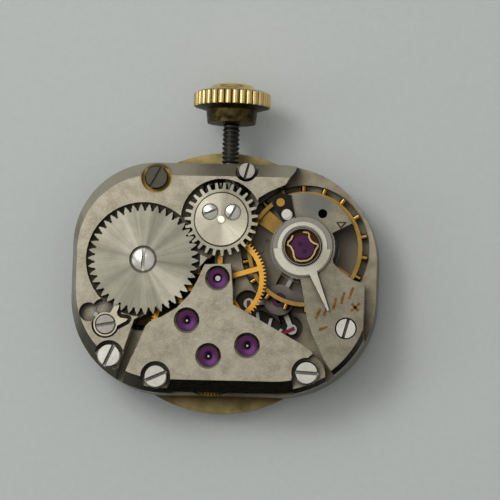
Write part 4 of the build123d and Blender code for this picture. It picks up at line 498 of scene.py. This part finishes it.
# Sunburst grinding of the two winding wheels and of the plate that holds the smaller one
ratchet_steel = sunburst_steel(
    "steel_sunburst_ratchet", "ratchet_wheel", "#9F9D8D", "#66645A", roughness=0.38, rays=260,
)
crown_wheel_steel = sunburst_steel(
    "steel_sunburst_crown_wheel", "crown_wheel", "#A9A696", "#757262", roughness=0.36, rays=170,
)
core_steel = sunburst_steel(
    "steel_sunburst_core", "crown_wheel_core", "#BAB5A4", "#8A8575", roughness=0.36, rays=110,
    patches=[(core_pin, 0.15, 0.18, "#F1EBD8")],
)


# Jewels, gold and the dial

# From a train jewel's middle to the painted glow where light leaves it again, in millimetres
glow_shift = (0.16, -0.20)


def ruby(name, colour, deep):
    """Synthetic ruby, cut and polished: a sharp highlight over a deep red, with painted shade in its oil cup,
    a painted glow beside each train jewel's middle and painted dark spots on the cap jewels.
    """
    material, tree, shader, place = start_material(
        name, {"Roughness": 0.05, "IOR": 1.77, "Specular IOR Level": 0.15},
    )
    clouds = add_node(
        tree, "ShaderNodeTexNoise", {"Scale": 1 / (0.5 * MM), "Detail": 2.0}, {"Vector": place},
    )
    body = add_node(
        tree, "ShaderNodeMix", {"data_type": "RGBA", 6: linear(colour), 7: linear(deep)},
        {0: clouds.outputs["Fac"]},
    )
    # Painted shade: the colour darkens in the oil cups
    shaded_cup = paint_corner_shade(tree, body.outputs[2], "#0C0209", reach=0.30, hold=0.95)
    tree.links.new(shaded_cup, shader.inputs["Base Color"])
    # Painted glow on each train jewel's lit side, and painted shade in its middle
    for middle in train_jewels:
        lit_side = (middle[0] + glow_shift[0], middle[1] + glow_shift[1])
        tint_patches(
            tree, shader, place, [(lit_side, 0.10, 0.42, "#6B3A74"), (middle, 0.13, 0.27, "#1E0620")],
        )
    tint_patches(tree, shader, place, [(middle, 0.08, 0.16, "#260627") for middle in cap_shadows])
    return material


# Hole jewels and cap jewels look purple, and the stones of the escapement a darker red
jewel_ruby = ruby("ruby_polished", "#55204F", "#2E0B30")
stone_ruby = ruby("ruby_stone", "#A01A35", "#5C0A1E")


def gold_plate():
    """Gold plating of the crown, brighter on its outer edges and cap, with painted shade in the flutes and on
    its neck.
    """
    material, tree, shader, place = start_material("gold_plate_shaded", {"Metallic": 1.0})
    low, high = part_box("crown")
    axis = middle_of("crown")
    grip = high.x - axis.x
    # Depths under the grip where the flutes' painted shade is full and where it ends, and stretches where the
    # neck's painted shade and the cap begin
    flute, edge = 0.12 * MM, 0.01 * MM
    neck_start, neck_end = 0.55 * MM, 0.95 * MM
    cap_start, cap_end = 0.55 * MM, 0.35 * MM
    off = add_node(tree, "ShaderNodeVectorMath", {"operation": "SUBTRACT", 1: axis}, {0: place})
    across = add_node(
        tree, "ShaderNodeVectorMath", {"operation": "MULTIPLY", 1: (1.0, 0.0, 1.0)},
        {0: off.outputs["Vector"]},
    )
    radius = add_node(
        tree, "ShaderNodeVectorMath", {"operation": "LENGTH"}, {0: across.outputs["Vector"]},
    )
    # Painted shade: darker deeper in the flutes and towards the neck
    outer_edge = add_node(
        tree, "ShaderNodeMapRange", {"From Min": grip - flute, "From Max": grip - edge},
        {"Value": radius.outputs["Value"]},
    )
    along = add_node(tree, "ShaderNodeSeparateXYZ", links={"Vector": place})
    neck = add_node(
        tree, "ShaderNodeMapRange", {"From Min": low.y + neck_start, "From Max": low.y + neck_end},
        {"Value": along.outputs["Y"]},
    )
    cap = add_node(
        tree, "ShaderNodeMapRange", {"From Min": high.y - cap_start, "From Max": high.y - cap_end},
        {"Value": along.outputs["Y"]},
    )
    clouds = add_node(
        tree, "ShaderNodeTexNoise", {"Scale": 1 / (0.4 * MM), "Detail": 4.0, "Roughness": 0.65},
        {"Vector": place},
    )
    unshaded = add_node(
        tree, "ShaderNodeMath", {"operation": "MAXIMUM"},
        {0: outer_edge.outputs["Result"], 1: cap.outputs["Result"]},
    )
    unshaded_share = add_node(
        tree, "ShaderNodeMath", {"operation": "MULTIPLY"},
        {0: unshaded.outputs["Value"], 1: neck.outputs["Result"]},
    )
    mottled = add_node(
        tree, "ShaderNodeMath", {"operation": "MULTIPLY_ADD", 1: 0.35},
        {0: clouds.outputs["Fac"], 2: unshaded_share.outputs["Value"]},
    )
    share = add_node(
        tree, "ShaderNodeMapRange", {"From Min": 0.12, "From Max": 1.1}, {"Value": mottled.outputs["Value"]},
    )
    colour = add_node(
        tree, "ShaderNodeMix", {"data_type": "RGBA", 6: linear("#241B0A"), 7: linear("#E9CD8C")},
        {0: share.outputs["Result"]},
    )
    tree.links.new(colour.outputs[2], shader.inputs["Base Color"])
    gloss = add_node(
        tree, "ShaderNodeMapRange", {"To Min": 0.50, "To Max": 0.18}, {"Value": share.outputs["Result"]},
    )
    tree.links.new(gloss.outputs["Result"], shader.inputs["Roughness"])
    return material


def silvered_dial():
    """The dial: silvered and satin on its face, which looks down here, its brass edge browned by age."""
    material = worked_metal(
        "brass_silvered_dial", "#8F8057", "#4E4426", roughness=0.42, stroke=(0.05, 0.4), depth=0.001,
        stain_size=1.4,
    )
    tree = material.node_tree
    facing = add_node(tree, "ShaderNodeNewGeometry")
    up = add_node(tree, "ShaderNodeSeparateXYZ", links={"Vector": facing.outputs["True Normal"]})
    face = add_node(
        tree, "ShaderNodeMapRange", {"From Min": -0.9, "From Max": -0.7, "To Min": 1.0, "To Max": 0.0},
        {"Value": up.outputs["Z"]},
    )
    tint(tree, tree.nodes["Principled BSDF"], face.outputs["Result"], "#D9D6CC")
    return material


# Which nodes wear each finish
worn_by = [
    (bridge_nickel, "barrel_bridge train_bridge"),
    (cock_nickel_shaded, "balance_cock"),
    (plate_nickel, "main_plate"),
    (pallet_bridge_nickel, "pallet_bridge"),
    (ratchet_steel, "ratchet_wheel"),
    (crown_wheel_steel, "crown_wheel"),
    (core_steel, "crown_wheel_core"),
    (screw_steel, "bridge_screws crown_wheel_screws ratchet_screw pallet_bridge_screw cover_screws"),
    (dull_steel, "click_screw setting_lever_screw"),
    (click_steel, "click"),
    (
        ground_steel,
        "barrel_arbor centre_pinion third_pinion fourth_pinion escape_pinion pallet_arbor pallet_fork "
        "balance_staff roller winding_pinion sliding_pinion setting_lever yoke setting_wheel "
        "setting_lever_spring click_spring mainspring escape_wheel cannon_pinion hairspring_collet",
    ),
    (stem_steel, "stem"),
    (regulator_steel, "regulator"),
    (black_polished_steel, "stud_carrier"),
    (wheel_gilt, "centre_wheel third_wheel fourth_wheel hour_markers"),
    (spring_gilt, "shock_springs"),
    (setting_steel, "shock_settings"),
    (balance_gilt, "balance_wheel"),
    (browned_bronze, "balance_screws hairspring_stud"),
    (turned_brass, "minute_wheel hour_wheel"),
    (aged_brass, "barrel_drum barrel_cover"),
    (silvered_dial(), "dial"),
    (gold_plate(), "crown"),
    (jewel_ruby, "bridge_jewels plate_jewels balance_jewels"),
    (stone_ruby, "pallet_stones impulse_jewel"),
    (hairspring_alloy, "hairspring"),
]
for material, names in worn_by:
    for name in names.split():
        for holder in nodes[name].material_slots:
            holder.material = material


# New pieces


def mesh_data(name, mesh):
    """Finished mesh data from the mesh that was being built."""
    data = bpy.data.meshes.new(name)
    mesh.to_mesh(data)
    mesh.free()
    return data


def new_piece(name, data, material, body):
    """A piece made here: named, finished and riding its body."""
    piece = bpy.data.objects.new(name, data)
    bpy.context.scene.collection.objects.link(piece)
    piece.data.materials.append(material)
    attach(piece, body)
    return piece


# Hairspring: the strip's coils between its collet and its stud, finer and closer than the plain solid's
balance_axis = middle_of("balance_wheel")
coil_low, coil_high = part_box("hairspring")
collet_low, collet_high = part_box("hairspring_collet")
coil_turns = 11
coil_strip = 0.022 * MM
coil_steps = 48


def hairspring_mesh():
    """A flat spiral strip, standing on edge, with even gaps between its turns."""
    inner = (collet_high.x - collet_low.x) / 2 + coil_strip
    outer = (coil_high.x - coil_low.x) / 2 - coil_strip
    low, high = coil_low.z, coil_high.z
    section = ((0, low), (coil_strip, low), (coil_strip, high), (0, high))
    mesh = bmesh.new()
    rows = []
    total = coil_turns * coil_steps
    for step in range(total + 1):
        turn = step / total
        angle = 2 * math.pi * coil_turns * turn
        radius = inner + (outer - inner) * turn
        way = Vector((math.cos(angle), math.sin(angle), 0))
        row = []
        for offset, height in section:
            point = way * (radius + offset)
            row.append(mesh.verts.new((balance_axis.x + point.x, balance_axis.y + point.y, height)))
        rows.append(row)
    for before, after in zip(rows, rows[1:]):
        for side in range(len(section)):
            other = (side + 1) % len(section)
            mesh.faces.new((before[side], before[other], after[other], after[side]))
    mesh.faces.new(rows[0])
    mesh.faces.new(reversed(rows[-1]))
    bmesh.ops.recalc_face_normals(mesh, faces=mesh.faces)
    return mesh_data("fine_hairspring", mesh)


fine_hairspring = new_piece("fine_hairspring", hairspring_mesh(), hairspring_alloy, "balance")
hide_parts("hairspring")

# Marks of the regulator's scale, engraved in the cock and filled brown: from where to where each stroke
# runs, in millimetres
cock_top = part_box("balance_cock")[1].z
mark_depth = 0.02 * MM
mark_proud = 0.004 * MM
mark_width = 0.13
mark_lines = {
    "scale_marks": [
        ((5.01, -1.95), (5.23, -1.44)), ((5.40, -1.80), (5.52, -1.42)), ((5.86, -1.47), (6.00, -0.90)),
        ((6.26, -1.18), (6.40, -0.59)), ((6.65, -0.93), (6.83, -0.33)),
    ],
    "slow_mark": [((5.19, -2.50), (5.60, -2.33))],
    "fast_mark": [((6.75, -1.52), (7.18, -1.14)), ((6.79, -1.15), (7.13, -1.50))],
}
mark_fill = worked_metal(
    "engraving_filled_brown", "#7E5C30", "#473313", roughness=0.5, stroke=(0.04, 0.1), depth=0.002,
    stain_size=0.3,
)

# The pointer's triangle, with its corners in millimetres, is engraved as an outline and filled black, and
# that share of its size is left open inside
pointer_corners = [(5.86, 2.93), (6.42, 2.94), (6.12, 2.58)]
pointer_open = 0.52
pointer_fill = worked_metal(
    "engraving_filled_black", "#3A352B", "#1C1812", roughness=0.5, stroke=(0.04, 0.1), depth=0.002,
    stain_size=0.3,
)


def bar_corners(start, end, width):
    """The four corners of a straight mark from start to end."""
    a, b = Vector(start), Vector(end)
    side = (b - a).normalized()
    side = Vector((-side.y, side.x)) * width / 2
    return [a - side, b - side, b + side, a + side]


def triangle_sides(corners, opening):
    """The outlines of a triangle's three sides, with an opening of that share of its size inside."""
    middle = sum((Vector(corner) for corner in corners), Vector((0, 0))) / 3
    inner = [middle.lerp(Vector(corner), opening) for corner in corners]
    return [[corners[i - 1], corners[i], inner[i], inner[i - 1]] for i in range(3)]


def marks_mesh(name, outlines):
    """Thin inlays that stand just proud of the cock's top, one for each outline in millimetres."""
    mesh = bmesh.new()
    for outline in outlines:
        low = [mesh.verts.new((p[0] * MM, p[1] * MM, cock_top - mark_depth)) for p in outline]
        high = [mesh.verts.new((p[0] * MM, p[1] * MM, cock_top + mark_proud)) for p in outline]
        mesh.faces.new(high)
        mesh.faces.new(reversed(low))
        for i in range(len(outline)):
            j = (i + 1) % len(outline)
            mesh.faces.new((low[i], low[j], high[j], high[i]))
    bmesh.ops.recalc_face_normals(mesh, faces=mesh.faces)
    return mesh_data(name, mesh)


for name, lines in mark_lines.items():
    outlines = [bar_corners(start, end, mark_width) for start, end in lines]
    new_piece(name, marks_mesh(name, outlines), mark_fill, "frame")
new_piece(
    "pointer_mark", marks_mesh("pointer_mark", triangle_sides(pointer_corners, pointer_open)),
    pointer_fill, "frame",
)


# Floor, light and camera

floor_half = 900 * MM
floor_gap = 0.02 * MM


def matt_card():
    """Matt grey-white card with a faint tooth, which keeps the movement's soft shadow."""
    material, tree, shader, place = start_material("matt_card", {"Roughness": 0.85})
    tooth = add_node(
        tree, "ShaderNodeTexNoise", {"Scale": 1 / (0.35 * MM), "Detail": 5.0, "Roughness": 0.7},
        {"Vector": place},
    )
    colour = add_node(
        tree, "ShaderNodeMix", {"data_type": "RGBA", 6: linear("#B1B6B6"), 7: linear("#BDC2C2")},
        {0: tooth.outputs["Fac"]},
    )
    tree.links.new(colour.outputs[2], shader.inputs["Base Color"])
    return material


floor_mesh = bmesh.new()
bmesh.ops.create_grid(floor_mesh, x_segments=1, y_segments=1, size=floor_half)
floor = bpy.data.objects.new("card_floor", mesh_data("card_floor", floor_mesh))
bpy.context.scene.collection.objects.link(floor)
floor.location = (0, 0, cad_box[0].z - floor_gap)
floor.data.materials.append(matt_card())


def studio_room():
    """The room: pale overhead, dimmer at eye height, and dark on the near side, which the bevels mirror."""
    room = bpy.data.worlds.new("studio_room")
    room.use_nodes = True
    tree = room.node_tree
    tree.nodes.clear()
    way = add_node(tree, "ShaderNodeTexCoord")
    height = add_node(tree, "ShaderNodeSeparateXYZ", links={"Vector": way.outputs["Generated"]})
    overhead = add_node(
        tree, "ShaderNodeMapRange",
        {"interpolation_type": "SMOOTHSTEP", "From Min": 0.05, "From Max": 0.85},
        {"Value": height.outputs["Z"]},
    )
    walls = add_node(
        tree, "ShaderNodeMix", {"data_type": "RGBA", 6: linear("#8E8B84"), 7: linear("#E9E8E4")},
        {0: overhead.outputs["Result"]},
    )
    toward_dark = add_node(
        tree, "ShaderNodeVectorMath", {"operation": "DOT_PRODUCT", 1: (-0.15, -0.94, -0.30)},
        {0: way.outputs["Generated"]},
    )
    dimness = add_node(
        tree, "ShaderNodeMapRange",
        {"interpolation_type": "SMOOTHSTEP", "From Min": 0.25, "From Max": 0.74},
        {"Value": toward_dark.outputs["Value"]},
    )
    air = add_node(
        tree, "ShaderNodeMix", {"data_type": "RGBA", 7: linear("#0E0D0C")},
        {0: dimness.outputs["Result"], 6: walls.outputs[2]},
    )
    sky = add_node(tree, "ShaderNodeBackground", {"Strength": 0.80}, {"Color": air.outputs[2]})
    add_node(tree, "ShaderNodeOutputWorld", links={"Surface": sky.outputs["Background"]})
    return room


def softbox(name, place, width, watts, colour):
    """A square soft light that looks from its place to the movement; place and width in millimetres."""
    lamp = bpy.data.lights.new(name, "AREA")
    lamp.shape = "SQUARE"
    lamp.size = width * MM
    lamp.energy = watts
    lamp.color = linear(colour)[:3]
    holder = bpy.data.objects.new(name, lamp)
    bpy.context.scene.collection.objects.link(holder)
    holder.location = Vector(place) * MM
    holder.rotation_mode = "QUATERNION"
    holder.rotation_quaternion = (-holder.location).to_track_quat("-Z", "Y")
    holder.visible_camera = False


bpy.context.scene.world = studio_room()
softbox("window_softbox", (-170, 210, 430), width=400, watts=0.45, colour="#FFFDFA")
softbox("near_softbox", (-52, 50, 112), width=46, watts=0.046, colour="#FFFDFA")
softbox("side_softbox", (-420, -40, 260), width=200, watts=0.20, colour="#F4F7FF")

camera_data = bpy.data.cameras.new("photo_camera")
camera_data.sensor_width = sensor_width
camera_data.lens = sensor_width * camera_distance / frame_width
camera_data.clip_start = 10 * MM
camera_data.clip_end = 5000 * MM
camera = bpy.data.objects.new("photo_camera", camera_data)
bpy.context.scene.collection.objects.link(camera)
right = Vector((math.cos(photo_turn), math.sin(photo_turn), 0))
up = Vector((-math.sin(photo_turn), math.cos(photo_turn), 0))
back = (right * lean_right - up * lean_down + Vector((0, 0, 1))).normalized()
across = (right - back * right.dot(back)).normalized()
upward = back.cross(across)
camera.matrix_world = Matrix.Translation(frame_middle + back * camera_distance) @ Matrix(
    (across, upward, back)
).transposed().to_4x4()
bpy.context.scene.camera = camera
bpy.context.scene.view_settings.view_transform = "Standard"
